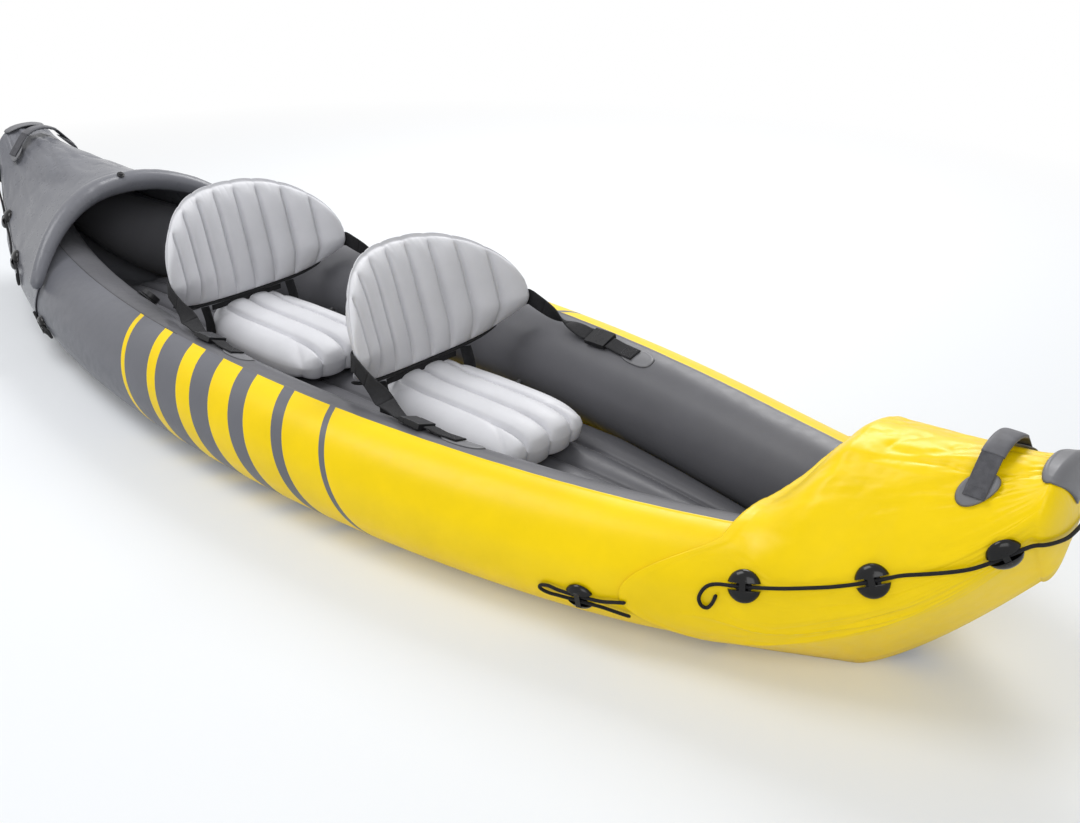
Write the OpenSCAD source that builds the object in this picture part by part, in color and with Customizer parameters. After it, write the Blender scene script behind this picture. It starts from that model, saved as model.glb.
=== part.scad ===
// Two-seat inflatable kayak: two air-filled side chambers and a lobed floor mat on a flat bottom
// sheet, closed at each end by a fitted cover, with two strapped-in inflated seats.
// +X is the bow, +Y is port, +Z is up; the origin is on the ground under the middle of the hull.

/* [Hull] */
// Length over the end covers
hull_l = 3110; // [2990:10:3230]
// Beam over the side chambers
hull_b = 908; // [890:2:950]
// Radius of a side chamber amidships
chamber_r = 114; // [108:1:118]
// Radius of a side chamber at its tips
tip_r = 55; // [50:1:60]
// Distance of a chamber tip's centre from the centre plane
tip_y = 30; // [27:1:36]
// Rise of the chamber centres towards the tips
end_rise = 250; // [220:5:270]
// Thickness of the bottom sheet
bottom_t = 3; // [2:0.5:4]
// How far the flat bottom sheet stops short of the chamber tips
bottom_back = 427; // [418:1:432]

/* [Floor mat] */
// Half width of the floor mat amidships
mat_half = 200; // [180:1:210]
// Thickness of the floor mat over its lobes
mat_h = 66; // [56:1:72]
// Number of lengthwise lobes in the mat
mat_lobes = 5; // [3:2:7]
// How far the floor mat stops short of the chamber tips
mat_back = 447; // [438:1:477]

/* [End covers] */
// Thickness of the cover skin
cover_t = 2; // [1.5:0.5:3]
// Depth of the rounded nose beyond the chamber tips
nose_d = 28; // [24:1:34]
// Length of the bow deck, back from the chamber tips to its straight edge
bow_deck_l = 427; // [407:5:447]
// Run over which the bow deck climbs from its edge to its crest
bow_hump_l = 130; // [110:5:150]
// Length of the stern deck on the centre line, from the chamber tips
stern_deck_l = 465; // [447:2:487]
// Length of the stern cover where its edge meets the chambers
stern_foot_l = 617; // [597:5:632]
// How far the bow cover's hem runs back along the sides
hem_run = 125; // [100:5:140]
// Height of the deck ridge at the nose
nose_top_z = 438; // [425:1:450]
// Climb of the deck ridge per millimetre of length
deck_slope = 0.14; // [0.1:0.01:0.16]
// Length over which the keel line rises to the chamber tips
keel_l = 237; // [217:5:257]
// Height of the keel line at the chamber tips
keel_rise = 230; // [210:5:245]
// Radius of the inflated splash arch at its apex
arch_r = 29; // [24:1:31]

/* [Handles] */
// Distance of each carrying handle from the chamber tips
handle_back = 91; // [81:2:107]
// Width of the handle grip along the hull
grip_w = 36; // [30:1:42]
// Thickness of the handle grip
grip_t = 8; // [6:0.5:10]
// Height of the grip's top over the deck ridge
grip_rise = 22; // [20:1:28]
// Diameter of the round tabs that hold a handle
tab_d = 56; // [48:1:62]

/* [Line hooks] */
// Diameter of a line hook
hook_d = 54; // [50:1:60]
// Height of a line hook
hook_h = 14; // [13:0.5:17]
// Diameter of the grab line
cord_d = 7; // [6:0.5:8]

/* [Seats] */
// Station of the front backrest's hinge line
front_x = 160; // [146:1:172]
// Station of the rear backrest's hinge line
rear_x = -482; // [-494:1:-470]
// Height of the hinge lines
hinge_z = 182; // [178:1:192]
// Length of a seat cushion
cushion_l = 424; // [404:2:440]
// Width of a seat cushion
cushion_w = 268; // [250:2:290]
// How far a cushion runs back behind its hinge line
cushion_back = 40; // [36:1:50]
// Height of a backrest
back_h = 276; // [260:2:288]
// How far the front backrest laps over each chamber
front_lap = 24; // [14:1:28]
// How far the rear backrest laps over each chamber
rear_lap = 30; // [14:1:32]
// Thickness of a backrest
back_t = 56; // [48:1:62]
// How far the front backrest's sides curve forwards
front_wrap = 120; // [104:2:128]
// How far the rear backrest's sides curve forwards
rear_wrap = 108; // [96:2:120]
// Half length of the fabric hinges
hinge_half = 104; // [90:1:112]
// Backward lean of the front backrest in degrees
front_lean = 18; // [14:1:24]
// Backward lean of the rear backrest in degrees
rear_lean = 14; // [10:1:20]
// Width of the strap webbing
strap_w = 38; // [30:1:42]
// Thickness of the strap webbing
strap_t = 3; // [2:0.5:3.5]

/* [Valves and buckles] */
// Radius of a chamber valve's flange
valve_r = 30; // [26:1:34]
// Inner radius of a chamber valve's neck
valve_bore_r = 15; // [13:0.5:16]
// Length of a buckle socket
buckle_l = 40; // [36:1:46]
// Width of a buckle
buckle_w = 46; // [44:1:50]
// Height of a buckle
buckle_h = 12; // [11:0.5:14]

/* [Hidden] */
$fn = 48;
bow_yellow = [0.97, 0.84, 0.02];
hull_grey = [0.41, 0.42, 0.44];
dark_grey = [0.27, 0.27, 0.29];
seat_grey = [0.80, 0.80, 0.82];
web_black = [0.10, 0.10, 0.11];
gloss_black = [0.04, 0.04, 0.05];

// Clearance between neighbouring pieces
gap = 0.3;
// Shape of the chambers: plan curve, taper and rise towards the tips
plan_round = 2.08;
plan_full = 1.06;
taper_power = 6.6;
rise_power = 8.5;
half_l = hull_l / 2 - nose_d;
// Stations of the pieces that keep their distance from the chamber tips
bottom_l = 2 * (half_l - bottom_back);
mat_l = 2 * (half_l - mat_back);
bow_deck_x = half_l - bow_deck_l;
stern_deck_x = half_l - stern_deck_l;
stern_foot_x = half_l - stern_foot_l;
keel_x = half_l - keel_l;
handle_x = half_l - handle_back;
mid_y = hull_b / 2 - chamber_r;
mid_z = bottom_t + gap + chamber_r;
cockpit_half = mid_y - chamber_r;
front_half = cockpit_half + front_lap;
rear_half = cockpit_half + rear_lap;
chamber_sides = 20;
chamber_cap = nose_d * 0.3;
// Cover section: deck curve, side arc and flank to the keel
deck_steps = 6;
arc_steps = 12;
flank_steps = 2;
shoulder_a = 60;
bow_shoulder_a = 25;
cover_rings = 11;
skin_lift = 4;
lift_back = 527;
lift_run = 200;
bottom_edge = bottom_l / 2 + 2 * gap;
mat_top = bottom_t + gap + mat_h;
mat_valley = 0.72;
cushion_z = mat_top + gap;
cushion_lobes = 4;
back_lobes = 9;
piping_r = 4;
cushion_h = hinge_z - piping_r - 10 - cushion_z;
strap_h = 74;
back_reach = 0.84;
anchor_a = -20;
anchor_run = 393;
socket_run = 288;
grip_r = 90;
grip_half = 46;
hook_floor = 3;
hook_bridge = 12;
hook_slot = cord_d + 5;
hem_slot = 2 * cord_d + 11;
// Line hooks on the covers and on the chambers ahead of the hems: distance from the chamber tip and
// angle from the top
bow_hooks = from_tip([[358, 66], [183, 66], [27, 100]]);
stern_hooks = from_tip([[377, 69], [201, 62], [27, 100]]);
bow_hem_hook = from_tip([[622, 106]])[0];
stern_hem_hook = from_tip([[647, 106]])[0];
// Hand-laid cord routes from the loose end loop to the nose: distance from the tip, angle and stand-off
bow_line = from_tip([[395, 75, 5], [398, 82, 5], [405, 87, 5], [414, 86, 5], [420, 80, 5], [417, 73, 6],
    [409, 68, 7], [395, 66, 7.5], [377, 66, 7.5], [358, 66, 7.5], [339, 66, 7.5], [320, 66, 7],
    [292, 66, 5], [247, 66, 5], [221, 66, 7], [202, 66, 7.5], [183, 66, 7.5], [164, 66, 7.5],
    [145, 67, 7], [117, 73, 5], [89, 81, 5.5], [65, 88.6, 7.5], [46, 94.3, 7.5], [27, 100, 7.5]]);
stern_line = from_tip([[414, 79, 5], [417, 86, 5], [424, 91, 5], [433, 90, 5], [439, 84, 5], [436, 77, 6],
    [428, 72, 7], [414, 70, 7.5], [396, 69.5, 7.5], [377, 69, 7.5], [358, 68.5, 7.5], [339, 68, 7],
    [312, 66, 5], [267, 63, 5], [239, 62, 7], [220, 62, 7.5], [201, 62, 7.5], [182, 62, 7.5],
    [163, 63, 7], [127, 70, 5], [91, 81, 5.5], [65, 88.6, 7.5], [46, 94.3, 7.5], [27, 100, 7.5]]);
nose_line = from_tip([[-4, 95.8, 340], [-18, 80, 341], [-27, 57, 339], [-32, 30, 336], [-33.5, 0, 336]]);
bow_hem_line = from_tip([[539, 98, 7], [557, 100, 7], [581, 102.5, 7.5], [602, 102.9, 7.5], [622, 102.9, 7.5],
    [642, 102.9, 7.5], [661, 102.5, 7], [677, 101.5, 6], [690, 103, 6], [695, 106, 6], [690, 109, 6],
    [677, 110.5, 6], [661, 109.5, 7], [642, 109.1, 7.5], [622, 109.1, 7.5], [602, 109.1, 7.5],
    [581, 109.5, 7.5], [557, 112, 7], [535, 114, 7]]);
stern_hem_line = from_tip([[581, 98, 7], [595, 100, 7], [608, 102.5, 7.5], [627, 102.9, 7.5],
    [647, 102.9, 7.5], [667, 102.9, 7.5], [686, 102.5, 7], [702, 101.5, 6], [715, 103, 6], [720, 106, 6],
    [715, 109, 6], [702, 110.5, 6], [686, 109.5, 7], [667, 109.1, 7.5], [647, 109.1, 7.5], [627, 109.1, 7.5],
    [608, 109.5, 7.5], [589, 112, 7], [563, 114, 7]]);

// Small helpers
function smooth(u) = let (c = max(0, min(1, u))) c * c * (3 - 2 * c);
function mix(a, b, t) = a + (b - a) * t;
function unit(v) = v / norm(v);
function bezier(a, b, c, d, t) =
    a * pow(1 - t, 3) + b * 3 * t * pow(1 - t, 2) + c * 3 * t * t * (1 - t) + d * pow(t, 3);
function lobe(v, n) = let (p = (v + 1) / 2 * n, q = 2 * (p - floor(min(p, n - 0.001))) - 1)
    sqrt(max(0, 1 - q * q));
function flat(rows) = [for (row = rows) each row];
function from_tip(route) = [for (p = route) [half_l - p.x, each [for (k = [1:len(p) - 1]) p[k]]]];

// Side chambers: centre line and radius at a station
function along(x) = min(1, abs(x) / half_l);
function chamber_y(x) = tip_y + (mid_y - tip_y) * pow(max(0, 1 - pow(along(x), plan_round)), plan_full);
function chamber_rad(x) = tip_r + (chamber_r - tip_r) * (1 - pow(along(x), taper_power));
function chamber_z(x) = mid_z + end_rise * pow(along(x), rise_power);
function chamber_pt(x, a, o) =
    [x, chamber_y(x) + (chamber_rad(x) + o) * sin(a), chamber_z(x) + (chamber_rad(x) + o) * cos(a)];

// Cover section at a station: s runs 0 to 1 over the deck, 1 to 2 round the chamber, 2 to 2.5 down the
// flank and 2.5 to 3 across the flat keel
function skin_gap(x) = gap + skin_lift * smooth((x - half_l + lift_back) / lift_run);
function skin_r(x, o) = (chamber_rad(x) + skin_gap(x) + o) / cos(90 / arc_steps);
function shoulder(x, bow) = mix(bow ? bow_shoulder_a : shoulder_a, shoulder_a, climb(x, bow));
function climb(x, bow) = bow ? smooth((x - bow_deck_x) / bow_hump_l) : 1;
function ridge_z(x, bow) =
    mix(chamber_z(x) + skin_r(x, 0), nose_top_z - deck_slope * (half_l - x), climb(x, bow));
function keel_z(x) = cover_t + keel_rise * pow(max(0, (x - keel_x) / (half_l - keel_x)), 1.4);
function keel_y(x) = chamber_y(x) * (1 - pow(max(0, (x - bottom_edge) / (half_l - bottom_edge)), 1.5));
function flank_a(x, o) =
    let (dy = chamber_y(x) - keel_y(x), dz = chamber_z(x) - keel_z(x) + o)
    180 - atan2(dz, dy) + asin(min(1, skin_r(x, o) / norm([dy, dz])));
function side_yz(x, a, o) = [chamber_y(x) + skin_r(x, o) * sin(a), chamber_z(x) + skin_r(x, o) * cos(a)];
function deck_yz(x, s, o, bow) =
    let (a = shoulder(x, bow), top = [0, ridge_z(x, bow) + o], end = side_yz(x, a, o))
    let (reach = 0.4 * norm(end - top))
    bezier(top, top + [end.x / 2, 0], end + reach * [-cos(a), sin(a)], end, s);
function cover_yz(x, s, o, bow) =
    s <= 1 ? deck_yz(x, s, o, bow) :
    s <= 2 ? side_yz(x, mix(shoulder(x, bow), flank_a(x, o), s - 1), o) :
    s <= 2.5 ? mix(side_yz(x, flank_a(x, o), o), [keel_y(x), keel_z(x) - o], 2 * s - 4) :
    [keel_y(x) * (6 - 2 * s), keel_z(x) - o];
function nose_mid(bow) = (ridge_z(half_l, bow) + keel_z(half_l)) / 2;
function cover_pt(x, s, o, bow) =
    let (depth = nose_d - cover_t + o, u = max(0, (x - half_l) / depth), k = sqrt(max(0, 1 - u * u)))
    let (p = cover_yz(min(x, half_l), abs(s), o, bow))
    [x, (s < 0 ? -1 : 1) * k * p.x, nose_mid(bow) + k * (p.y - nose_mid(bow))];
// Edge of each cover: the bow hem sweeps back along the sides, the stern edge rises to its arch
function bow_edge(s) = s <= 1 ? bow_deck_x :
    mix(bow_deck_x, bottom_edge, min(1, s - 1)) - hem_run * pow(max(0, sin(180 * min(1, s - 1))), 1.5);
function stern_edge(s) = s <= 1 ? mix(stern_deck_x, stern_foot_x, pow(s, 1.5)) :
    mix(stern_foot_x, bottom_edge, pow(min(1, s - 1), 2));
function cover_edge(s, bow) = bow ? bow_edge(s) : stern_edge(s);
// A point on the cover's outer skin round the side, by angle from the top
function skin_pt(x, a, o) = let (p = side_yz(x, a, cover_t)) [x, p.x + o * sin(a), p.y + o * cos(a)];

// A closed tube through rings of points
module tube(rings) {
    n = len(rings);
    m = len(rings[0]);
    walls = [for (i = [0:n - 2], j = [0:m - 1])
        let (a = i * m + j, b = i * m + (j + 1) % m) each [[a, b, b + m], [a, b + m, a + m]]];
    first = [for (j = [1:m - 2]) [0, j + 1, j]];
    last = [for (j = [1:m - 2]) [(n - 1) * m, (n - 1) * m + j, (n - 1) * m + j + 1]];
    polyhedron(flat(rings), concat(walls, first, last), convexity = 8);
}

// A slab between two grids of points, such as a cushion, patch or strap
module slab(front, back) {
    n = len(front);
    m = len(front[0]);
    b = n * m;
    cells = [for (i = [0:n - 2], j = [0:m - 2]) i * m + j];
    faces = [for (k = cells) each [[k, k + 1, k + m + 1], [k, k + m + 1, k + m],
        [b + k, b + k + m + 1, b + k + 1], [b + k, b + k + m, b + k + m + 1]]];
    sides = [for (i = [0:n - 2]) let (p = i * m, q = i * m + m - 1)
        each [[p, p + m, b + p + m], [p, b + p + m, b + p],
            [q + m, q, b + q], [q + m, b + q, b + q + m]]];
    ends = [for (j = [0:m - 2]) let (p = j, q = (n - 1) * m + j)
        each [[p + 1, p, b + p], [p + 1, b + p, b + p + 1],
            [q, q + 1, b + q + 1], [q, b + q + 1, b + q]]];
    polyhedron(concat(flat(front), flat(back)), concat(faces, sides, ends), convexity = 8);
}

// A round cord swept along points, turning its section as little as it can
module cord(points, d, sides = 8) {
    n = len(points);
    t = [for (i = [0:n - 1]) unit(points[min(n - 1, i + 1)] - points[max(0, i - 1)])];
    first = unit(cross(t[0], [0.31, 0.17, 0.93]));
    normals = [for (i = 0, v = first; i < n; i = i + 1, v = i < n ? unit(v - (v * t[i]) * t[i]) : v) v];
    tube([for (i = [0:n - 1]) let (u = normals[i], w = cross(u, t[i]))
        [for (j = [0:sides - 1]) points[i] + d / 2 * (cos(360 * j / sides) * u + sin(360 * j / sides) * w)]]);
}

// A flat strap through stations of [place, width direction]
module strap(stations, w, t) {
    n = len(stations);
    p = [for (s = stations) s[0]];
    run = [for (i = [0:n - 1]) unit(p[min(n - 1, i + 1)] - p[max(0, i - 1)])];
    across = [for (i = [0:n - 1]) let (v = stations[i][1]) unit(v - (v * run[i]) * run[i])];
    up = [for (i = [0:n - 1]) cross(run[i], across[i])];
    slab([for (i = [0:n - 1]) [for (k = [-1, 1]) p[i] + k * w / 2 * across[i] + t / 2 * up[i]]],
        [for (i = [0:n - 1]) [for (k = [-1, 1]) p[i] + k * w / 2 * across[i] - t / 2 * up[i]]]);
}

// Points between hand-laid ones, on a smooth curve through them
function curve_pt(p, i, t) =
    let (n = len(p) - 1, a = p[max(0, i - 1)], b = p[i], c = p[min(n, i + 1)], d = p[min(n, i + 2)])
    (2 * b + (c - a) * t + (2 * a - 5 * b + 4 * c - d) * t * t + (3 * b - a - 3 * c + d) * pow(t, 3)) / 2;
function curve(p, steps) =
    [for (i = [0:len(p) - 2], k = [0:steps - 1]) curve_pt(p, i, k / steps), p[len(p) - 1]];

// Square grid drawn in to a rounded outline, on -1 to 1
function round_uv(u, v, power) =
    let (m = max(abs(u), abs(v)), d = pow(pow(abs(u), power) + pow(abs(v), power), 1 / power))
    d == 0 ? [0, 0] : [u, v] * m / d;
function steps(n) = [for (i = [0:n]) -1 + 2 * i / n];

module port_and_starboard() {
    children();
    mirror([0, 1, 0]) children();
}

module side_chamber() {
    stations = [for (i = [-18:18]) half_l * sin(5 * i)];
    cap = concat([-1], stations / half_l, [1]);
    rings = [for (i = [0:len(cap) - 1])
        let (end = i == 0 || i == len(cap) - 1, x = cap[i] * half_l)
        let (r = chamber_rad(x) * (end ? 0.6 : 1), shift = end ? sign(x) * chamber_cap : 0)
        [for (j = [0:chamber_sides - 1]) let (a = 360 * j / chamber_sides)
            [x + shift, max(gap, chamber_y(x) + r * sin(a)), chamber_z(x) + r * cos(a)]]];
    tube(rings);
}

module port_side_chamber() {
    color(dark_grey) side_chamber();
}

module starboard_side_chamber() {
    color(dark_grey) mirror([0, 1, 0]) side_chamber();
}

// Floor mat: lengthwise lobes between two side walls, as wide as the chambers leave room for
function mat_w(x) = let (z = bottom_t + gap + mat_h * mat_valley, h = chamber_z(x) - z)
    min(mat_half, chamber_y(x) - sqrt(max(0, pow(chamber_rad(x), 2) - h * h)) - 6);
module floor_mat() {
    low = bottom_t + gap;
    columns = steps(mat_lobes * 6);
    stations = [for (i = [-6:6]) mat_l / 2 * sin(90 * i / 6)];
    color(dark_grey) slab(
        [for (x = stations) [for (v = columns)
            [x, v * mat_w(x), low + mat_h * mix(mat_valley, 1, lobe(v, mat_lobes))]]],
        [for (x = stations) [for (v = columns) [x, v * (mat_w(x) - mat_h * 0.15), low]]]);
}

module bottom_sheet() {
    stations = steps(40);
    rim = [for (u = stations) [u * bottom_l / 2, chamber_y(u * bottom_l / 2)]];
    color(bow_yellow) linear_extrude(bottom_t)
        polygon(concat(rim, [for (i = [len(rim) - 1:-1:0]) [rim[i].x, -rim[i].y]]));
}

// Fitted end cover: a sock over both chamber tips, open where the cockpit is
module end_cover(bow) {
    s = concat([for (i = [0:deck_steps]) i / deck_steps],
        [for (i = [1:arc_steps]) 1 + i / arc_steps], [for (i = [1:flank_steps]) 2 + i / flank_steps]);
    h = len(s) - 1;
    loop = concat(s, [for (i = [h - 1:-1:1]) -s[i]]);
    m = len(loop);
    cap = [0.5, 0.8, 0.96];
    function station(v, i, o) = i <= cover_rings ?
        mix(cover_edge(abs(v), bow), half_l, pow(i / cover_rings, 1.2)) :
        half_l + cap[i - cover_rings - 1] * (nose_d - cover_t + o);
    last = cover_rings + len(cap);
    function shell(o) = [for (i = [0:last], v = loop) cover_pt(station(v, i, o), v, o, bow)];
    count = (last + 1) * m;
    tip_out = 2 * count;
    tip_in = 2 * count + 1;
    skin = [for (i = [0:last - 1], j = [0:m - 1]) let (a = i * m + j, b = i * m + (j + 1) % m)
        each [[a, b, b + m], [a, b + m, a + m]]];
    lining = [for (f = skin) [f[0] + count, f[2] + count, f[1] + count]];
    rim = [for (j = [0:m - 1]) let (a = j, b = (j + 1) % m)
        each [[b, a, a + count], [b, a + count, b + count]]];
    tips = [for (j = [0:m - 1]) let (a = last * m + j, b = last * m + (j + 1) % m)
        each [[a, b, tip_out], [a + count, tip_in, b + count]]];
    mid = nose_mid(bow);
    polyhedron(concat(shell(cover_t), shell(0),
        [[half_l + nose_d, 0, mid], [half_l + nose_d - cover_t, 0, mid]]),
        concat(skin, lining, rim, tips), convexity = 10);
}

module bow_cover() {
    color(bow_yellow) end_cover(true);
}

module stern_cover() {
    color(hull_grey) mirror([1, 0, 0]) end_cover(false);
}

// Inflated splash arch along the stern cover's raised edge
function arch_rad(s) = arch_r * (1 - 0.42 * s * s);
function arch_pt(v) = let (s = abs(v), r = arch_rad(s))
    cover_pt(stern_edge(s) - 1.16 * (r + gap), v, mix(-0.35 * r, r + 2 * gap, pow(s, 1.2)), false);
module splash_arch() {
    points = [for (v = steps(24)) arch_pt(v)];
    n = len(points);
    sides = 12;
    color(hull_grey) mirror([1, 0, 0]) tube([for (i = [0:n - 1])
        let (t = unit(points[min(n - 1, i + 1)] - points[max(0, i - 1)]))
        let (u = unit([1, 0, 0] - t.x * t), w = cross(u, t))
        let (r = arch_rad(abs(steps(24)[i])) * (i == 0 || i == n - 1 ? 0.5 : 1))
        [for (j = [0:sides - 1]) points[i] + r * (cos(360 * j / sides) * u + sin(360 * j / sides) * w)]]);
}

module splash_arch_valve() {
    top = arch_pt(0);
    color(web_black) translate([-top.x, 0, top.z]) rotate([0, 30, 0]) translate([0, 0, arch_r + 3 * gap])
        rotate_extrude() polygon([[0, 0], [10, 0], [10, 2], [6, 3], [6, 6], [5, 7], [0, 7]]);
}

// Oval patch welded to an end cover
module cover_patch(x, s, half_x, half_s, o, t, bow) {
    grid = steps(8);
    function pt(u, v, lift) = let (q = round_uv(u, v, 2))
        cover_pt(x + half_x * q.x, s + half_s * q.y, cover_t + lift, bow);
    slab([for (u = grid) [for (v = grid) pt(u, v, o + t)]], [for (u = grid) [for (v = grid) pt(u, v, o)]]);
}

module bow_nose_patch() {
    color(hull_grey) cover_patch(half_l + 2, 0, 25, 0.62, 1.9, 2, true);
}

module stern_nose_patch() {
    color(hull_grey) mirror([1, 0, 0]) cover_patch(half_l + 2, 0, 25, 0.62, 1.9, 2, false);
}

// Wear strip under the bow, along the first of the keel's rise
module keel_strip() {
    stations = [for (i = [0:6]) keel_x + 28 + i * 20];
    function pt(x, k, o) = cover_pt(x, 3 - 0.28 * k, cover_t + o, true);
    function row(x, o) = [for (k = [-1:0.5:1]) let (p = pt(x, abs(k), o)) [p.x, sign(k) * p.y, p.z]];
    color(web_black) slab([for (x = stations) row(x, 2 * gap)], [for (x = stations) row(x, 2 * gap + 2)]);
}

// Carrying handle: round tabs on the deck, webbing legs and a moulded grip
function tab_s() = 0.5;
module handle_tabs(bow) {
    p = cover_pt(handle_x, tab_s(), cover_t, bow);
    q = cover_pt(handle_x, tab_s() + 0.05, cover_t, bow);
    half_s = tab_d / 2 / (norm(q - p) / 0.05);
    port_and_starboard() cover_patch(handle_x, tab_s(), tab_d / 2, half_s, 2 * gap, 2, bow);
}

function grip_top(bow) = ridge_z(handle_x, bow) + cover_t + grip_rise;
function grip_end(bow) = let (r = grip_r - grip_t / 2)
    [handle_x, grip_half + 1.6, grip_top(bow) - grip_r + sqrt(r * r - grip_half * grip_half) - 1];
module handle_straps(bow) {
    foot = cover_pt(handle_x, tab_s(), cover_t + 2 + 4 * gap + strap_t / 2, bow);
    knee = cover_pt(handle_x, 0.38, cover_t + 7, bow);
    route = curve([foot, knee, grip_end(bow)], 3);
    port_and_starboard() strap([for (p = route) [p, [1, 0, 0]]], grip_w - 2, strap_t);
}

module handle_grip(bow) {
    translate([handle_x - grip_w / 2, 0, grip_top(bow) - grip_r]) intersection() {
        rotate([90, 0, 90]) difference() {
            cylinder(r = grip_r, h = grip_w);
            translate([0, 0, -1]) cylinder(r = grip_r - grip_t, h = grip_w + 2);
        }
        translate([-1, -grip_half, 0]) cube([grip_w + 2, 2 * grip_half, grip_r + 1]);
    }
}

module bow_handle_tabs() {
    color(hull_grey) handle_tabs(true);
}

module bow_handle_straps() {
    color(dark_grey) handle_straps(true);
}

module bow_handle_grip() {
    color(hull_grey) handle_grip(true);
}

module stern_handle_tabs() {
    color(hull_grey) mirror([1, 0, 0]) handle_tabs(false);
}

module stern_handle_straps() {
    color(dark_grey) mirror([1, 0, 0]) handle_straps(false);
}

module stern_handle_grip() {
    color(hull_grey) mirror([1, 0, 0]) handle_grip(false);
}

// Moulded line hook: a dome with a channel for the cord and a bar that keeps the cord in
module line_hook(slot) {
    r = hook_d / 2;
    difference() {
        rotate_extrude() polygon(concat([[0, 0], [r, 0], [r, 2]],
            [for (a = [15:15:75]) [r * cos(a), 2 + (hook_h - 2) * sin(a)]], [[0, hook_h]]));
        translate([-hook_d, -slot / 2, hook_floor]) cube([2 * hook_d, slot, hook_h]);
        for (x = [-hook_d, hook_bridge]) translate([x, -slot / 2, -1])
            cube([hook_d - hook_bridge, slot, hook_h]);
    }
    translate([-5, -slot / 2 - 4, hook_floor + cord_d + 1]) cube([10, slot + 8, 2]);
}

// Place children on a surface point with +Z along its normal and +X along a run
module on_surface(p, run, normal) {
    z = unit(normal);
    x = unit(run - (run * z) * z);
    y = cross(z, x);
    multmatrix([[x.x, y.x, z.x, p.x], [x.y, y.y, z.y, p.y], [x.z, y.z, z.z, p.z], [0, 0, 0, 1]]) children();
}

// Directions along and out of the cover skin and the chambers
function skin_run(x, a) = skin_pt(x + 4, a, 0) - skin_pt(x - 4, a, 0);
function skin_normal(x, a) = unit(cross(skin_run(x, a), skin_pt(x, a + 3, 0) - skin_pt(x, a - 3, 0)));
function chamber_run(x, a) = chamber_pt(x + 4, a, 0) - chamber_pt(x - 4, a, 0);
function chamber_normal(x, a) =
    unit(cross(chamber_run(x, a), chamber_pt(x, a + 3, 0) - chamber_pt(x, a - 3, 0)));
function on_skin(q) = skin_pt(q[0], q[1], 0) + q[2] * skin_normal(q[0], q[1]);
function on_chamber(q) = chamber_pt(q[0], q[1], 0) + q[2] * chamber_normal(q[0], q[1]);
function hook_run(route, h) = let (k = [for (i = [1:len(route) - 1]) if (route[i][0] == h[0]) i][0])
    on_skin(route[k]) - on_skin(route[k - 1]);
module skin_hook(h, route) {
    on_surface(on_skin([h[0], h[1], 2 * gap]), hook_run(route, h), skin_normal(h[0], h[1]))
        line_hook(hook_slot);
}

module chamber_hook(h) {
    on_surface(on_chamber([h[0], h[1], 2 * gap]), chamber_run(h[0], h[1]), chamber_normal(h[0], h[1]))
        line_hook(hem_slot);
}

module hook_set(hooks, route, hem) {
    for (h = hooks) skin_hook(h, route);
    chamber_hook(hem);
}

module bow_line_hooks() {
    color(gloss_black) port_and_starboard() hook_set(bow_hooks, bow_line, bow_hem_hook);
}

module stern_line_hooks() {
    color(gloss_black) mirror([1, 0, 0]) port_and_starboard()
        hook_set(stern_hooks, stern_line, stern_hem_hook);
}

module grab_line(route) {
    half = concat([for (q = route) on_skin(q)], nose_line);
    n = len(half);
    whole = concat(half, [for (i = [n - 2:-1:0]) [half[i].x, -half[i].y, half[i].z]]);
    cord(whole, cord_d);
}

module bow_grab_line() {
    color(web_black) grab_line(bow_line);
}

module stern_grab_line() {
    color(web_black) mirror([1, 0, 0]) grab_line(stern_line);
}

module hem_cords(route) {
    port_and_starboard() cord([for (q = route) on_chamber(q)], cord_d);
}

module bow_hem_cords() {
    color(web_black) hem_cords(bow_hem_line);
}

module stern_hem_cords() {
    color(web_black) mirror([1, 0, 0]) hem_cords(stern_hem_line);
}

// Screw-cap air valves: a flanged neck, a cap over it and a flap inside
valve_back = 128;
valve_x = rear_x - valve_back;
valve_a = -52;
floor_valve_back = 278;
floor_valve_x = rear_x - floor_valve_back;
neck_r = valve_bore_r + 5;
neck_h = 15;
cap_t = 4;
module valve_seat() {
    rotate_extrude() polygon([[valve_bore_r, 0], [valve_r, 0], [valve_r, 2], [neck_r + 2, 4],
        [neck_r, 4], [neck_r, neck_h], [valve_bore_r, neck_h]]);
}

module valve_cap() {
    rotate_extrude() polygon([[0, neck_h + gap], [neck_r + gap, neck_h + gap], [neck_r + gap, 5],
        [neck_r + cap_t, 5], [neck_r + cap_t, neck_h + cap_t - 1], [neck_r + cap_t - 2, neck_h + cap_t],
        [0, neck_h + cap_t]]);
}

module valve_flap() {
    translate([0, 0, 1]) cylinder(r = valve_bore_r - 0.4, h = 1.5);
}

module at_port_valve() {
    on_surface(on_chamber([valve_x, valve_a, 2 * gap]), chamber_run(valve_x, valve_a),
        chamber_normal(valve_x, valve_a)) children();
}

module at_floor_valve() {
    translate([floor_valve_x, 0, mat_top + gap]) children();
}

module port_valve_seat() {
    color(web_black) at_port_valve() valve_seat();
}

module port_valve_cap() {
    color(web_black) at_port_valve() valve_cap();
}

module starboard_valve_seat() {
    color(web_black) mirror([0, 1, 0]) at_port_valve() valve_seat();
}

module starboard_valve_cap() {
    color(web_black) mirror([0, 1, 0]) at_port_valve() valve_cap();
}

module floor_valve_seat() {
    color(web_black) at_floor_valve() valve_seat();
}

module floor_valve_cap() {
    color(web_black) at_floor_valve() valve_cap();
}

module valve_flaps() {
    color(seat_grey) {
        port_and_starboard() at_port_valve() valve_flap();
        at_floor_valve() valve_flap();
    }
}

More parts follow.
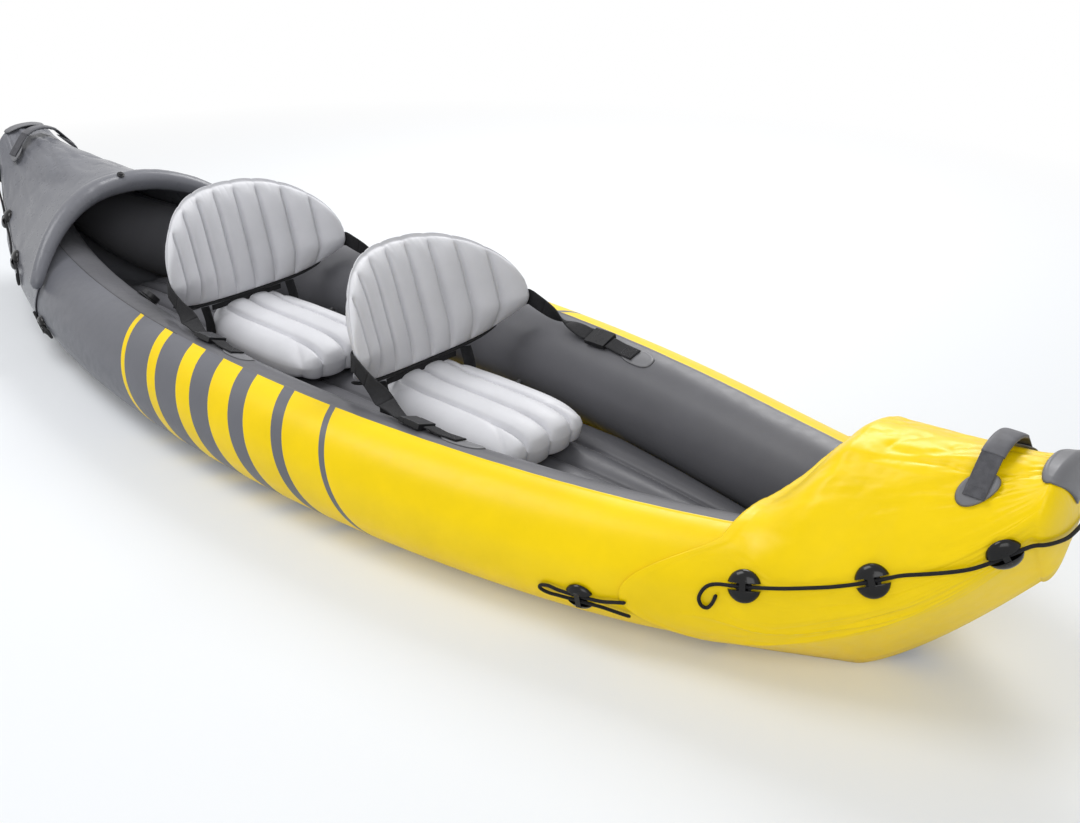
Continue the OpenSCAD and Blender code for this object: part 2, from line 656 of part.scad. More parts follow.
// Seat cushion: an inflated pillow with sewn lengthwise channels, crowned above and below its seam
seam_t = 3;
channel_depth = 0.3;
function crown(u, v) = sqrt(pow(1 - pow(abs(u), u < 0 ? 8 : 4), 0.8) * (1 - pow(abs(v), 3)));
function cushion_lift(u, v) = seam_t / 2 + (cushion_h - seam_t) / 2 * crown(u, v)
    * (1 - channel_depth + channel_depth * lobe(v, cushion_lobes));
function cushion_drop(u, v) = seam_t / 2 + (cushion_h - seam_t) / 2 * pow(crown(u, v), 0.6);
seam_z = cushion_z + cushion_h / 2;
function plan(u, v, hinge_x) = let (q = round_uv(u, v, u < 0 ? 3.4 : 5))
    [hinge_x - cushion_back + cushion_l / 2 * (1 + q.x), q.y * cushion_w / 2];
function cushion_top(u, v, hinge_x) = let (p = plan(u, v, hinge_x)) [p.x, p.y, seam_z + cushion_lift(u, v)];
module cushion(hinge_x) {
    rows = steps(12);
    columns = steps(cushion_lobes * 5);
    slab([for (u = rows) [for (v = columns) cushion_top(u, v, hinge_x)]],
        [for (u = rows) [for (v = columns) let (p = plan(u, v, hinge_x))
            [p.x, p.y, seam_z - cushion_drop(u, v)]]]);
}

// Backrest: upright channels under a domed top, sides curving forwards, built on its hinge line
// A seat is [hinge station, lean, half width, forward curve of the sides]
front_seat = [front_x, front_lean, front_half, front_wrap];
rear_seat = [rear_x, rear_lean, rear_half, rear_wrap];
function back_top(v) = back_h * (0.28 + 0.7 * pow(1 - v * v, 0.76) + 0.02 * lobe(v, back_lobes));
function back_foot(v) = piping_r + gap + 14 * v * v + 36 * pow(abs(v), 6);
function back_bow(v, h, seat) = seat[3] * v * v * mix(0.35, 1, smooth(h / 80));
function back_crest_t(f, v) = (back_t - seam_t) / 2 * sqrt((1 - pow(2 * f - 1, 4)) * (1 - pow(v, 6)));
function back_half_t(f, v) = seam_t / 2 + back_crest_t(f, v)
    * (1 - channel_depth + channel_depth * lobe(v, back_lobes));
module on_hinge(seat) {
    translate([seat[0], 0, hinge_z]) rotate([0, -seat[1], 0]) children();
}

module backrest(seat) {
    rows = [for (i = [0:9]) (1 - cos(180 * i / 9)) / 2];
    columns = steps(back_lobes * 4);
    function pt(f, v, side) = let (h = mix(back_foot(v), back_top(v), f))
        [back_bow(v, h, seat) + side * back_half_t(f, v), seat[2] * v, h];
    on_hinge(seat)
        slab([for (f = rows) [for (v = columns) pt(f, -v, 1)]],
            [for (f = rows) [for (v = columns) pt(f, -v, -1)]]);
}

// Webbing across the back of a backrest, short of its side edges
function band_depth(v) = let (f = (strap_h + strap_w / 2 - back_foot(v)) / (back_top(v) - back_foot(v)))
    seam_t / 2 + back_crest_t(min(0.5, f), v) + 2 * gap;
module back_band(seat) {
    columns = [for (v = steps(back_lobes * 4)) back_reach * v];
    low = strap_h - strap_w / 2;
    function pt(v, h, o) = [back_bow(v, h, seat) - band_depth(v) - o, seat[2] * v, h];
    on_hinge(seat) slab([for (v = columns) [for (k = [0, 1]) pt(v, low + k * strap_w, 0)]],
        [for (v = columns) [for (k = [0, 1]) pt(v, low + k * strap_w, strap_t)]]);
}

// Piping along the curved foot of a backrest
module hinge_piping(seat) {
    on_hinge(seat) cord([for (v = steps(16)) let (k = 0.86 * v)
        [back_bow(k, 0, seat), seat[2] * k, back_foot(k) - piping_r - 2 * gap]], 2 * piping_r);
}

// Fabric hinge standing on the cushion's crown under the piping
module hinge_band(seat) {
    u = 2 * (cushion_back + strap_t / 2) / cushion_l - 1;
    crest = seam_z + max([for (v = [0:0.05:1]) cushion_lift(u, v)]) + gap;
    height = hinge_z - piping_r - 1 - crest;
    translate([seat[0] - strap_t / 2, -hinge_half, crest]) cube([strap_t, 2 * hinge_half, height]);
}

// Upright webbing ties beside the cushion
module tie_straps(seat) {
    low = mat_top + 20;
    ahead = 38;
    u = 1 - 2 * (cushion_back + ahead) / cushion_l;
    side = cushion_w / 2 * pow(1 - pow(u, 3.4), 1 / 3.4) + 2 * gap;
    port_and_starboard() translate([seat[0] + ahead - strap_w, side, low])
        cube([strap_w, strap_t, hinge_z - 14 - low]);
}

module back_valve(seat) {
    depth = back_half_t(0.5, 0) + gap;
    on_hinge(seat) translate([-depth, 0, (back_foot(0) + back_top(0)) / 2]) rotate([0, -90, 0]) stem_valve();
}

module cushion_valve(seat) {
    u = 0;
    v = 0.93;
    run = cushion_top(u + 0.04, v, seat[0]) - cushion_top(u - 0.04, v, seat[0]);
    rise = cushion_top(u, v + 0.03, seat[0]) - cushion_top(u, v - 0.03, seat[0]);
    normal = unit(cross(run, rise));
    on_surface(cushion_top(u, v, seat[0]) + gap * normal, run, normal) stem_valve();
}

module stem_valve() {
    rotate_extrude() polygon([[0, 0], [11, 0], [11, 2], [6, 3], [6, 9], [5, 10], [0, 10]]);
}

// Strap from behind a backrest, round its side edge, to the buckle plug on the chamber
function leaned(p, seat) = [seat[0] + p.x * cos(seat[1]) - p.z * sin(seat[1]), p.y,
    hinge_z + p.x * sin(seat[1]) + p.z * cos(seat[1])];
function socket_x(hinge_x) = hinge_x + socket_run;
plug_base = 14;
buckle_lift = 2.5;
module seat_straps(seat) {
    function at(v, h) = leaned([back_bow(v, h, seat) - band_depth(v) - strap_t - 1, seat[2] * v, h], seat);
    function rise(v) = unit(at(v, strap_h + strap_w / 2) - at(v, strap_h - strap_w / 2));
    function back(v) = (at(v, strap_h + strap_w / 2) + at(v, strap_h - strap_w / 2)) / 2;
    off = unit(back(1) - back(0.97));
    stop = chamber_pt(socket_x(seat[0]) - buckle_l / 2 - plug_base - 3 * gap, anchor_a,
        buckle_lift + buckle_h / 2);
    lead = stop - [16, 0, 0];
    edge = back(1) + 14 * off - [0, 0, 3];
    lie = [0, cos(anchor_a), -sin(anchor_a)];
    wing = [for (k = [0:4]) mix(back_reach + 0.024, 1, k / 4)];
    free = curve([edge, mix(edge, lead, 0.5) - [0, 0, 4], lead], 5);
    n = len(free) - 1;
    port_and_starboard() strap(concat([for (v = wing) [back(v), rise(v)]],
        [for (i = [0:n]) [free[i], mix(rise(1), -lie, smooth(i / n))]], [[stop, -lie]]), strap_w, strap_t);
}

module strap_anchors(hinge_x) {
    x = hinge_x + anchor_run;
    grid = steps(6);
    half_a = 23 / chamber_r * 180 / PI;
    function pt(u, v, o) = let (q = round_uv(u, v, 2.6)) chamber_pt(x + 45 * q.x, anchor_a + half_a * q.y, o);
    from = socket_x(hinge_x) + buckle_l / 2 + 2.4;
    lie = [0, cos(anchor_a), -sin(anchor_a)];
    port_and_starboard() {
        slab([for (u = grid) [for (v = grid) pt(u, v, gap + 2)]],
            [for (u = grid) [for (v = grid) pt(u, v, gap)]]);
        strap([for (i = [0:5]) let (t = i / 5, s = mix(from, x - 5, t))
            [chamber_pt(s, anchor_a,
                mix(buckle_lift + buckle_h / 2, 2 + 3 * gap + strap_t / 2, smooth(2 * t))), lie]],
            strap_w - 4, strap_t);
    }
}

// Side-release buckle: a socket on the hull and a plug on the strap
module on_anchor_line(x) {
    translate(chamber_pt(x, anchor_a, buckle_lift)) rotate([-anchor_a, 0, 0]) children();
}

prong_l = 28;
prong_fit = 0.4;
module buckle_socket() {
    difference() {
        translate([-buckle_l / 2, -buckle_w / 2, 0]) cube([buckle_l, buckle_w, buckle_h]);
        translate([-buckle_l / 2 - 1, 4 - buckle_w / 2, 3]) cube([prong_l + 3, buckle_w - 8, buckle_h - 6]);
    }
}

module buckle_plug() {
    back = -buckle_l / 2 - gap;
    translate([back - plug_base, -buckle_w / 2, 1]) cube([plug_base, buckle_w, buckle_h - 2]);
    for (side = [-1, 1]) translate([back - 2, side * (buckle_w / 2 - 8.5) - 4, 3 + prong_fit])
        cube([prong_l + 2, 8, buckle_h - 6 - 2 * prong_fit]);
    translate([back - 2, -3, 3 + prong_fit]) cube([prong_l - 6, 6, buckle_h - 6 - 2 * prong_fit]);
}

module buckle_sockets(hinge_x) {
    port_and_starboard() on_anchor_line(socket_x(hinge_x)) buckle_socket();
}

module port_plug(hinge_x) {
    on_anchor_line(socket_x(hinge_x)) buckle_plug();
}

module front_cushion() {
    color(seat_grey) cushion(front_x);
}

module front_backrest() {
    color(seat_grey) backrest(front_seat);
}

module front_hinge_piping() {
    color(web_black) hinge_piping(front_seat);
}

module front_hinge_band() {
    color(web_black) hinge_band(front_seat);
}

module front_back_band() {
    color(web_black) back_band(front_seat);
}

module front_tie_straps() {
    color(web_black) tie_straps(front_seat);
}

module front_back_valve() {
    color(web_black) back_valve(front_seat);
}

module front_cushion_valve() {
    color(web_black) cushion_valve(front_seat);
}

module front_seat_straps() {
    color(web_black) seat_straps(front_seat);
}

module front_strap_anchors() {
    color(dark_grey) strap_anchors(front_x);
}

module front_buckle_sockets() {
    color(web_black) buckle_sockets(front_x);
}

module front_port_plug() {
    color(web_black) port_plug(front_x);
}

module front_starboard_plug() {
    color(web_black) mirror([0, 1, 0]) port_plug(front_x);
}

module rear_cushion() {
    color(seat_grey) cushion(rear_x);
}

module rear_backrest() {
    color(seat_grey) backrest(rear_seat);
}

module rear_hinge_piping() {
    color(web_black) hinge_piping(rear_seat);
}

module rear_hinge_band() {
    color(web_black) hinge_band(rear_seat);
}

module rear_back_band() {
    color(web_black) back_band(rear_seat);
}

module rear_tie_straps() {
    color(web_black) tie_straps(rear_seat);
}

module rear_back_valve() {
    color(web_black) back_valve(rear_seat);
}

module rear_cushion_valve() {
    color(web_black) cushion_valve(rear_seat);
}

module rear_seat_straps() {
    color(web_black) seat_straps(rear_seat);
}

module rear_strap_anchors() {
    color(dark_grey) strap_anchors(rear_x);
}

module rear_buckle_sockets() {
    color(web_black) buckle_sockets(rear_x);
}

module rear_port_plug() {
    color(web_black) port_plug(rear_x);
}

module rear_starboard_plug() {
    color(web_black) mirror([0, 1, 0]) port_plug(rear_x);
}

port_side_chamber();
starboard_side_chamber();
floor_mat();
bottom_sheet();
bow_cover();
stern_cover();
splash_arch();
splash_arch_valve();
bow_nose_patch();
stern_nose_patch();
keel_strip();
bow_handle_tabs();
bow_handle_straps();
bow_handle_grip();
stern_handle_tabs();
stern_handle_straps();
stern_handle_grip();
bow_line_hooks();
stern_line_hooks();
bow_grab_line();
stern_grab_line();
bow_hem_cords();
stern_hem_cords();
port_valve_seat();
port_valve_cap();
starboard_valve_seat();
starboard_valve_cap();
floor_valve_seat();
floor_valve_cap();
valve_flaps();
front_cushion();
front_backrest();
front_hinge_piping();
front_hinge_band();
front_back_band();
front_tie_straps();
front_back_valve();
front_cushion_valve();
front_seat_straps();
front_strap_anchors();
front_buckle_sockets();
front_port_plug();
front_starboard_plug();
rear_cushion();
rear_backrest();
rear_hinge_piping();
rear_hinge_band();
rear_back_band();
rear_tie_straps();
rear_back_valve();
rear_cushion_valve();
rear_seat_straps();
rear_strap_anchors();
rear_buckle_sockets();
rear_port_plug();
rear_starboard_plug();
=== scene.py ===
import math

import bmesh
import bpy
import numpy as np
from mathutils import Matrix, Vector, noise


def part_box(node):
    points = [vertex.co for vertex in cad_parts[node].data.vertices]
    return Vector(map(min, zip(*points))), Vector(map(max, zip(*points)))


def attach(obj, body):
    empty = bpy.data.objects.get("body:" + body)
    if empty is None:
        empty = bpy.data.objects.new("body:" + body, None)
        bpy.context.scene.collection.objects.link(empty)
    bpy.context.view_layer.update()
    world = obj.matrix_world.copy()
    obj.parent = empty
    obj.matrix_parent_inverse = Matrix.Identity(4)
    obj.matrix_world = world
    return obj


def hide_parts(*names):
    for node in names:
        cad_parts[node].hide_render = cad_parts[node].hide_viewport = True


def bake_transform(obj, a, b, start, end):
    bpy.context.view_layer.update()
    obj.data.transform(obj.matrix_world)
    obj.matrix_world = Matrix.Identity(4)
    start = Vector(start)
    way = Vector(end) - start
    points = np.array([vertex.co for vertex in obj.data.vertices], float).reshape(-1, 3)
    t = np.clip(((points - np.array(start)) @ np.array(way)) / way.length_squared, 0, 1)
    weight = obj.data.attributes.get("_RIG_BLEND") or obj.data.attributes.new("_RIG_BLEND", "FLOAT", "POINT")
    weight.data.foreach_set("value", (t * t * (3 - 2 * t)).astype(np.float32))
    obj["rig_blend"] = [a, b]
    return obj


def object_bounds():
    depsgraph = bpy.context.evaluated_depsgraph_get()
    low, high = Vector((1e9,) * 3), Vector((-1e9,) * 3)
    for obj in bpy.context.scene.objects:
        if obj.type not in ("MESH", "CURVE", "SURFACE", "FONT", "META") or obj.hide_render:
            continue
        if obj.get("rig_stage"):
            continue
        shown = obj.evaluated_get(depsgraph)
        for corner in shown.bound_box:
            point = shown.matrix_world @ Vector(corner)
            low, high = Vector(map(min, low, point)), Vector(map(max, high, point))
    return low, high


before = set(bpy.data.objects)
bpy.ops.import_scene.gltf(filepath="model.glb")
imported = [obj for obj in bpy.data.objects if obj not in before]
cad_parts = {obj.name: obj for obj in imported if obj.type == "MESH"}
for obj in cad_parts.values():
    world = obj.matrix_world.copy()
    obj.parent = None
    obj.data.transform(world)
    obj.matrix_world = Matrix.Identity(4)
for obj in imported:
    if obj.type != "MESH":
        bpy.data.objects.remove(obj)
cad_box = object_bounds()

# Camera and studio
# A three-quarter view from ahead of the starboard bow, level and unshifted.
# The boat lies on a pale floor under large soft lamps, with white all round.
floor_half = 40
floor_z = -0.001
pure_white = (1, 1, 1, 1)
scene = bpy.context.scene
scene.view_settings.view_transform = "Standard"


def placed(name, data):
    made = bpy.data.objects.new(name, data)
    scene.collection.objects.link(made)
    return made


def aimed(name, data, place, aim):
    made = placed(name, data)
    made.location = place
    made.rotation_euler = (Vector(aim) - Vector(place)).to_track_quat("-Z", "Y").to_euler()
    return made


camera_data = bpy.data.cameras.new("camera")
camera_data.sensor_width = 36
camera_data.lens = 40.72
scene.camera = aimed("camera", camera_data, (1.992, -1.649, 1.283), (0.5089, 0, 0.1775))


def add(tree, kind, inputs=(), **settings):
    made = tree.nodes.new(kind if "Node" in kind else "ShaderNode" + kind)
    for key, value in settings.items():
        setattr(made, key, value)
    for key, value in dict(inputs).items():
        if isinstance(value, bpy.types.NodeSocket):
            tree.links.new(value, made.inputs[key])
        else:
            made.inputs[key].default_value = value
    return made


def math_node(tree, operation, *values):
    return add(tree, "Math", enumerate(values), operation=operation).outputs[0]


def ramp(tree, value, low, high, first, last):
    return add(tree, "MapRange", {0: value, 1: low, 2: high, 3: first, 4: last}).outputs[0]


def white_to_eye(tree):
    rays = add(tree, "LightPath").outputs
    seen = math_node(tree, "MAXIMUM", rays["Is Camera Ray"], rays["Is Glossy Ray"])
    return math_node(tree, "MAXIMUM", seen, rays["Is Transmission Ray"])


def blank_tree(holder):
    holder.use_nodes = True
    holder.node_tree.nodes.clear()
    return holder.node_tree


world = bpy.data.worlds.new("studio")
scene.world = world
sky = blank_tree(world)
room_light = add(sky, "Background", {"Color": (0.96, 0.98, 1, 1), "Strength": 0.4})
plain_white = add(sky, "Background", {"Color": pure_white, "Strength": 1.0})
sky_mix = add(sky, "MixShader", {0: white_to_eye(sky), 1: room_light.outputs[0], 2: plain_white.outputs[0]})
add(sky, "OutputWorld", {"Surface": sky_mix.outputs[0]})

floor_mesh = bpy.data.meshes.new("floor")
corners = [(x * floor_half, y * floor_half, floor_z) for x, y in ((-1, -1), (1, -1), (1, 1), (-1, 1))]
floor_mesh.from_pydata(corners, [], [(0, 1, 2, 3)])
floor = placed("floor", floor_mesh)
floor_paint = bpy.data.materials.new("floor_paint")
tree = blank_tree(floor_paint)
lit = add(tree, "BsdfDiffuse", {"Color": (0.84, 0.86, 0.885, 1)})
glow = add(tree, "Emission", {"Color": pure_white, "Strength": 1.0})
spot = add(tree, "TexCoord").outputs["Object"]
off_middle = add(tree, "VectorMath", {0: spot}, operation="LENGTH").outputs["Value"]
paleness = ramp(tree, off_middle, 1.6, 3.4, 0.12, 1.0)
share = math_node(tree, "MULTIPLY", white_to_eye(tree), paleness)
both = add(tree, "MixShader", {0: share, 1: lit.outputs[0], 2: glow.outputs[0]})
add(tree, "OutputMaterial", {"Surface": both.outputs[0]})
floor_mesh.materials.append(floor_paint)
floor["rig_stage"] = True

for name, place, aim, size, watts in (
        ("key_lamp", (-1.3, -1.2, 3.6), (0.1, 0, 0.1), 2.0, 66),
        ("bow_lamp", (3.0, -2.6, 2.6), (0.6, 0, 0.2), 2.6, 56),
        ("back_lamp", (-0.8, 2.6, 2.9), (0.2, 0, 0.2), 1.8, 84)):
    lamp_data = bpy.data.lights.new(name, "AREA")
    lamp_data.size = size
    lamp_data.energy = watts
    aimed(name, lamp_data, place, aim)

# Side chambers
# Two long air tubes of coated vinyl, fat amidships and tapering up to the tips. Each is welded along
# its top from a coloured outer sheet and a dark inner one, so a low bead runs along the gunwale.
half_l = 1.527
gap = 0.0003
tip_y = 0.03
belly_y = 0.31
tip_rad = 0.055
belly_rad = 0.059
mid_z = 0.1173
tip_rise = 0.25
tip_cap = 0.0084
weld_a = 1.0
hands = ((1, "port"), (-1, "starboard"))


def smooth(u):
    c = max(0.0, min(1.0, u))
    return c * c * (3 - 2 * c)


def mix(a, b, t):
    return a + (b - a) * t


def along(x):
    return min(1.0, abs(x) / half_l)


def chamber_y(x):
    return tip_y + belly_y * max(0.0, 1 - along(x) ** 2.08) ** 1.06


def chamber_rad(x):
    return tip_rad + belly_rad * (1 - along(x) ** 6.6)


def chamber_z(x):
    return mid_z + tip_rise * along(x) ** 8.5


def chamber_pt(x, a, o):
    turn = math.radians(a)
    r = chamber_rad(x) + o
    return Vector((x, chamber_y(x) + r * math.sin(turn), chamber_z(x) + r * math.cos(turn)))


def mesh_piece(name, points, faces, uvs=None, marks=None, merge=None):
    mesh = bpy.data.meshes.new(name)
    mesh.from_pydata([tuple(p) for p in points], [], faces)
    if uvs is not None:
        layer = mesh.uv_layers.new(name="UVMap")
        for polygon, corners in zip(mesh.polygons, uvs):
            for loop, corner in zip(polygon.loop_indices, corners):
                layer.data[loop].uv = corner
    for mark, values in (marks or {}).items():
        mesh.attributes.new(mark, "FLOAT", "POINT").data.foreach_set("value", np.asarray(values, np.float32))
    work = bmesh.new()
    work.from_mesh(mesh)
    if merge:
        bmesh.ops.remove_doubles(work, verts=work.verts, dist=merge)
    bmesh.ops.recalc_face_normals(work, faces=work.faces)
    work.to_mesh(mesh)
    work.free()
    mesh.shade_smooth()
    return placed(name, mesh)


def loft(name, rings, capped=True, marks=None, merge=None):
    n, m = len(rings), len(rings[0])
    points = [p for ring in rings for p in ring]
    waist = rings[n // 2]
    run = np.cumsum([0] + [(Vector(b[0]) - Vector(a[0])).length for a, b in zip(rings, rings[1:])])
    girth = np.cumsum([0] + [(Vector(waist[(j + 1) % m]) - Vector(waist[j])).length for j in range(m)])
    faces, uvs = [], []
    for i in range(n - 1):
        for j in range(m):
            k = (j + 1) % m
            faces.append((i * m + j, i * m + k, i * m + m + k, i * m + m + j))
            left, right = girth[j], girth[j + 1]
            uvs.append([(left, run[i]), (right, run[i]), (right, run[i + 1]), (left, run[i + 1])])
    if capped:
        for first, row in ((0, run[0]), ((n - 1) * m, run[-1])):
            faces.append(tuple(range(first, first + m)))
            uvs.append([(girth[j], row) for j in range(m)])
    return mesh_piece(name, points, faces, uvs, marks, merge)


def fit(piece, body, paint, slot, *stands_for):
    piece.data.materials.clear()
    piece.data.materials.append(paint)
    if "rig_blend" not in piece:
        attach(piece, body)
    if stands_for:
        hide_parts(*stands_for)
    return piece


def colour(red, green, blue):
    parts = [c / 255 for c in (red, green, blue)]
    return tuple(c / 12.92 if c <= 0.04045 else ((c + 0.055) / 1.055) ** 2.4 for c in parts) + (1,)


def finish_group(name, *more):
    # A finish that several materials share: it takes a colour and a gloss
    group = bpy.data.node_groups.new(name, "ShaderNodeTree")
    for way, kind, keys in (("INPUT", "Color", ["Colour"]), ("INPUT", "Float", ["Gloss", *more]),
                            ("OUTPUT", "Color", ["Colour"]), ("OUTPUT", "Float", ["Roughness", "Height"])):
        for key in keys:
            group.interface.new_socket(name=key, in_out=way, socket_type="NodeSocket" + kind)
    return group, add(group, "NodeGroupInput").outputs


def give_out(group, given, shade, rough, height):
    # What the finish hands back: the colour times a shade, a roughness and a relief
    tint = add(group, "VectorMath", {0: given["Colour"], "Scale": shade}, operation="SCALE").outputs[0]
    add(group, "NodeGroupOutput", {"Colour": tint, "Roughness": rough, "Height": height})


def mottle(tree, place, scale, **more):
    return add(tree, "TexNoise", {"Vector": place, "Scale": scale, **more}).outputs[0]


# Coated sheet: faint cloudy colour, an embossed grain and patchy gloss
vinyl_grain, given = finish_group("vinyl_grain")
spot = add(vinyl_grain, "TexCoord").outputs["Object"]
cloud = mottle(vinyl_grain, spot, 7.0, Detail=5.0, Roughness=0.6)
streak = mottle(vinyl_grain, spot, 55.0, Detail=3.0)
grit = add(vinyl_grain, "TexVoronoi", {"Vector": spot, "Scale": 1300.0}).outputs["Distance"]
shade = ramp(vinyl_grain, cloud, 0.3, 0.7, 0.93, 1.04)
rough = math_node(vinyl_grain, "ADD", ramp(vinyl_grain, streak, 0.3, 0.7, -0.05, 0.07), given["Gloss"])
emboss = math_node(vinyl_grain, "MULTIPLY", grit, 0.35)
height = math_node(vinyl_grain, "ADD", emboss, math_node(vinyl_grain, "MULTIPLY", streak, 0.5))
give_out(vinyl_grain, given, shade, rough, height)


def paint_with(name, group, tint, gloss, bump, coat=0.0, depth=0.0006, **extra):
    made = bpy.data.materials.new(name)
    made.use_nodes = True
    tree = made.node_tree
    shader = tree.nodes["Principled BSDF"].inputs
    base = tint(tree) if callable(tint) else tint
    look = add(tree, "Group", {"Colour": base, "Gloss": gloss, **extra}, node_tree=group).outputs
    relief = add(tree, "Bump", {"Height": look["Height"], "Strength": bump, "Distance": depth})
    tree.links.new(look["Colour"], shader["Base Color"])
    tree.links.new(look["Roughness"], shader["Roughness"])
    tree.links.new(relief.outputs[0], shader["Normal"])
    shader["Specular IOR Level"].default_value = 0.2
    shader["Coat Weight"].default_value = coat
    shader["Coat Roughness"].default_value = 0.25
    return made


yellow = colour(250, 214, 0)
hull_grey = colour(106, 107, 113)
inner_grey = colour(100, 100, 104)
seam_line_grey = colour(44, 44, 47)
bar_lean = 0.0012
bar_start = 0.56
bars_per_metre = 8.4
bar_growth = 0.145
seam_line_half = 0.5
seam_line_from = -0.27


def hull_livery(tree):
    # Slanted bars, each wider than the last, until the outer sheet is all yellow
    def calc(operation, *values):
        return math_node(tree, operation, *values)

    def choose(share, first, second):
        return add(tree, "Mix", {0: share, 6: first, 7: second}, data_type="RGBA").outputs[2]

    station = add(tree, "Attribute", attribute_name="station").outputs["Fac"]
    girth = add(tree, "Attribute", attribute_name="girth").outputs["Fac"]
    lean = calc("SUBTRACT", station, calc("MULTIPLY", girth, bar_lean))
    count = calc("MULTIPLY", calc("ADD", lean, bar_start), bars_per_metre)
    bar = calc("LESS_THAN", calc("FRACT", count), calc("MULTIPLY", calc("FLOOR", count), bar_growth))
    outer = calc("GREATER_THAN", girth, weld_a)
    sheets = choose(outer, inner_grey, choose(bar, hull_grey, yellow))
    # A thin dark line of colour along the weld, on the stern half only
    off_weld = calc("ABSOLUTE", calc("SUBTRACT", girth, weld_a))
    astern = calc("LESS_THAN", station, seam_line_from)
    seam_line = calc("MULTIPLY", calc("LESS_THAN", off_weld, seam_line_half), astern)
    return choose(seam_line, sheets, seam_line_grey)


hull_vinyl = paint_with("hull_vinyl", vinyl_grain, hull_livery, 0.36, 0.12, coat=0.06)
gunwale = [-2.6, -1.7, -0.8, 0.2, 1.0, 1.8, 2.8, 3.7, 4.6]
turns = [5 * j for j in range(-36, 0)] + gunwale + [5 * j for j in range(2, 36)]
stations = [half_l * math.sin(math.radians(0.75 * i)) for i in range(-120, 121)]


def gunwale_bead(x, a):
    bead = 0.0011 * math.exp(-(((a - weld_a) / 2.0) ** 4))
    tug = noise.noise(Vector((x * 31, 0.3, 7.1))) * math.exp(-(((a - weld_a) / 16) ** 2))
    return bead + 0.0006 * tug


for side, hand in hands:
    rings, station_mark, girth_mark = [], [], []
    for x in [-half_l - tip_cap] + stations + [half_l + tip_cap]:
        shrink = 0.6 if abs(x) > half_l else 1
        ring = []
        for a in turns:
            p = chamber_pt(max(-half_l, min(half_l, x)), a, gunwale_bead(x, a))
            centre = Vector((p.x, chamber_y(p.x), chamber_z(p.x)))
            p = centre + (p - centre) * shrink
            ring.append((x, side * max(gap, p.y), p.z))
            station_mark.append(x)
            girth_mark.append(a)
        rings.append(ring)
    name = hand + "_side_chamber"
    tube = loft(name + "_skin", rings, marks={"station": station_mark, "girth": girth_mark})
    fit(tube, "hull", hull_vinyl, "hull_vinyl", name)

# Bottom sheet and floor mat
# A flat sheet of yellow vinyl, welded to both chambers, closes the hull underneath. On it lies a loose
# inflated mat of dark vinyl, divided by welds into lengthwise lobes and rounded off at both ends.
mat_low = 0.0033
mat_h = 0.066
mat_half_l = 1.08
mat_half_w = 0.2
mat_clear = 0.006
mat_lobes = 5
mat_weld = 0.72
bottom_vinyl = paint_with("bottom_vinyl", vinyl_grain, yellow, 0.42, 0.12)
inner_vinyl = paint_with("inner_vinyl", vinyl_grain, colour(93, 93, 97), 0.4, 0.14, coat=0.08)


def repaint(node_name, paint):
    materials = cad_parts[node_name].data.materials
    materials.clear()
    materials.append(paint)


repaint("bottom_sheet", bottom_vinyl)


def spread(n):
    return [-1 + 2 * i / n for i in range(n + 1)]


def lobe(v, n):
    p = (v + 1) / 2 * n
    q = 2 * (p - math.floor(min(p, n - 0.001))) - 1
    return math.sqrt(max(0.0, 1 - q * q))


def mat_half(x):
    h = chamber_z(x) - (mat_low + mat_weld * mat_h)
    inner = chamber_y(x) - math.sqrt(max(0.0, chamber_rad(x) ** 2 - h * h))
    return min(mat_half_w, inner - mat_clear)


rings = []
for i in range(-90, 91):
    x = mat_half_l * math.sin(math.radians(i))
    end = math.sqrt(max(0.0, 1 - (abs(x) / mat_half_l) ** 30))
    tug = 0.0012 * noise.noise(Vector((x * 17, 3.3, 0.5)))
    top = []
    for v in spread(100):
        rise = mix(mat_weld, 1, lobe(v, mat_lobes)) + tug / mat_h * (1 - lobe(v, mat_lobes))
        top.append((x, v * mat_half(x), mat_low + mat_h * (0.1 + 0.9 * end) * rise))
    under = [(x, v * (mat_half(x) - 0.01), mat_low) for v in (0.98, 0.5, 0, -0.5, -0.98)]
    rings.append(top + under)
fit(loft("floor_mat_lobes", rings), "hull", inner_vinyl, "inner_vinyl", "floor_mat")

# End covers
# Each end of the boat is closed by a fitted sock of the same vinyl, yellow ahead and grey astern. It is
# stretched over both chamber tips, so it pulls into long low folds, and its free edge is a doubled hem.
cover_t = 0.002
wall_t = 0.0016
hem_t = 0.0009
nose_d = 0.028
bow_edge = 1.1
bottom_edge = 1.1006
hem_sweep = 0.125
stern_crown = 1.062
stern_side = 0.91
bow_climb = 0.13
low_shoulder = 25
high_shoulder = 60
ridge_tip_z = 0.438
ridge_slope = 0.14
keel_from = 1.29
keel_rise = 0.23
skin_rows = 120
nose_rows = 13
hook_rim = 0.026
hook_reach = 0.16
hook_fold = 0.0012
arc_step = 15
arc_lift = 1 / math.cos(math.radians(arc_step / 2))
ends = ((True, "bow"), (False, "stern"))
hook_spots = {"bow": ((1.169, 66), (1.344, 66), (1.5, 100)), "stern": ((1.15, 69), (1.326, 62), (1.5, 100))}


def skin_r(x, o):
    return (chamber_rad(x) + gap + 0.004 * smooth((x - 1) / 0.2) + o) * arc_lift


def climb(x, bow):
    return smooth((x - bow_edge) / bow_climb) if bow else 1.0


def shoulder(x, bow):
    return mix(low_shoulder if bow else high_shoulder, high_shoulder, climb(x, bow))


def ridge_z(x, bow):
    return mix(chamber_z(x) + skin_r(x, 0), ridge_tip_z - ridge_slope * (half_l - x), climb(x, bow))


def keel_z(x):
    return cover_t + keel_rise * max(0.0, (x - keel_from) / (half_l - keel_from)) ** 1.4


def keel_y(x):
    return chamber_y(x) * (1 - max(0.0, (x - bottom_edge) / (half_l - bottom_edge)) ** 1.5)


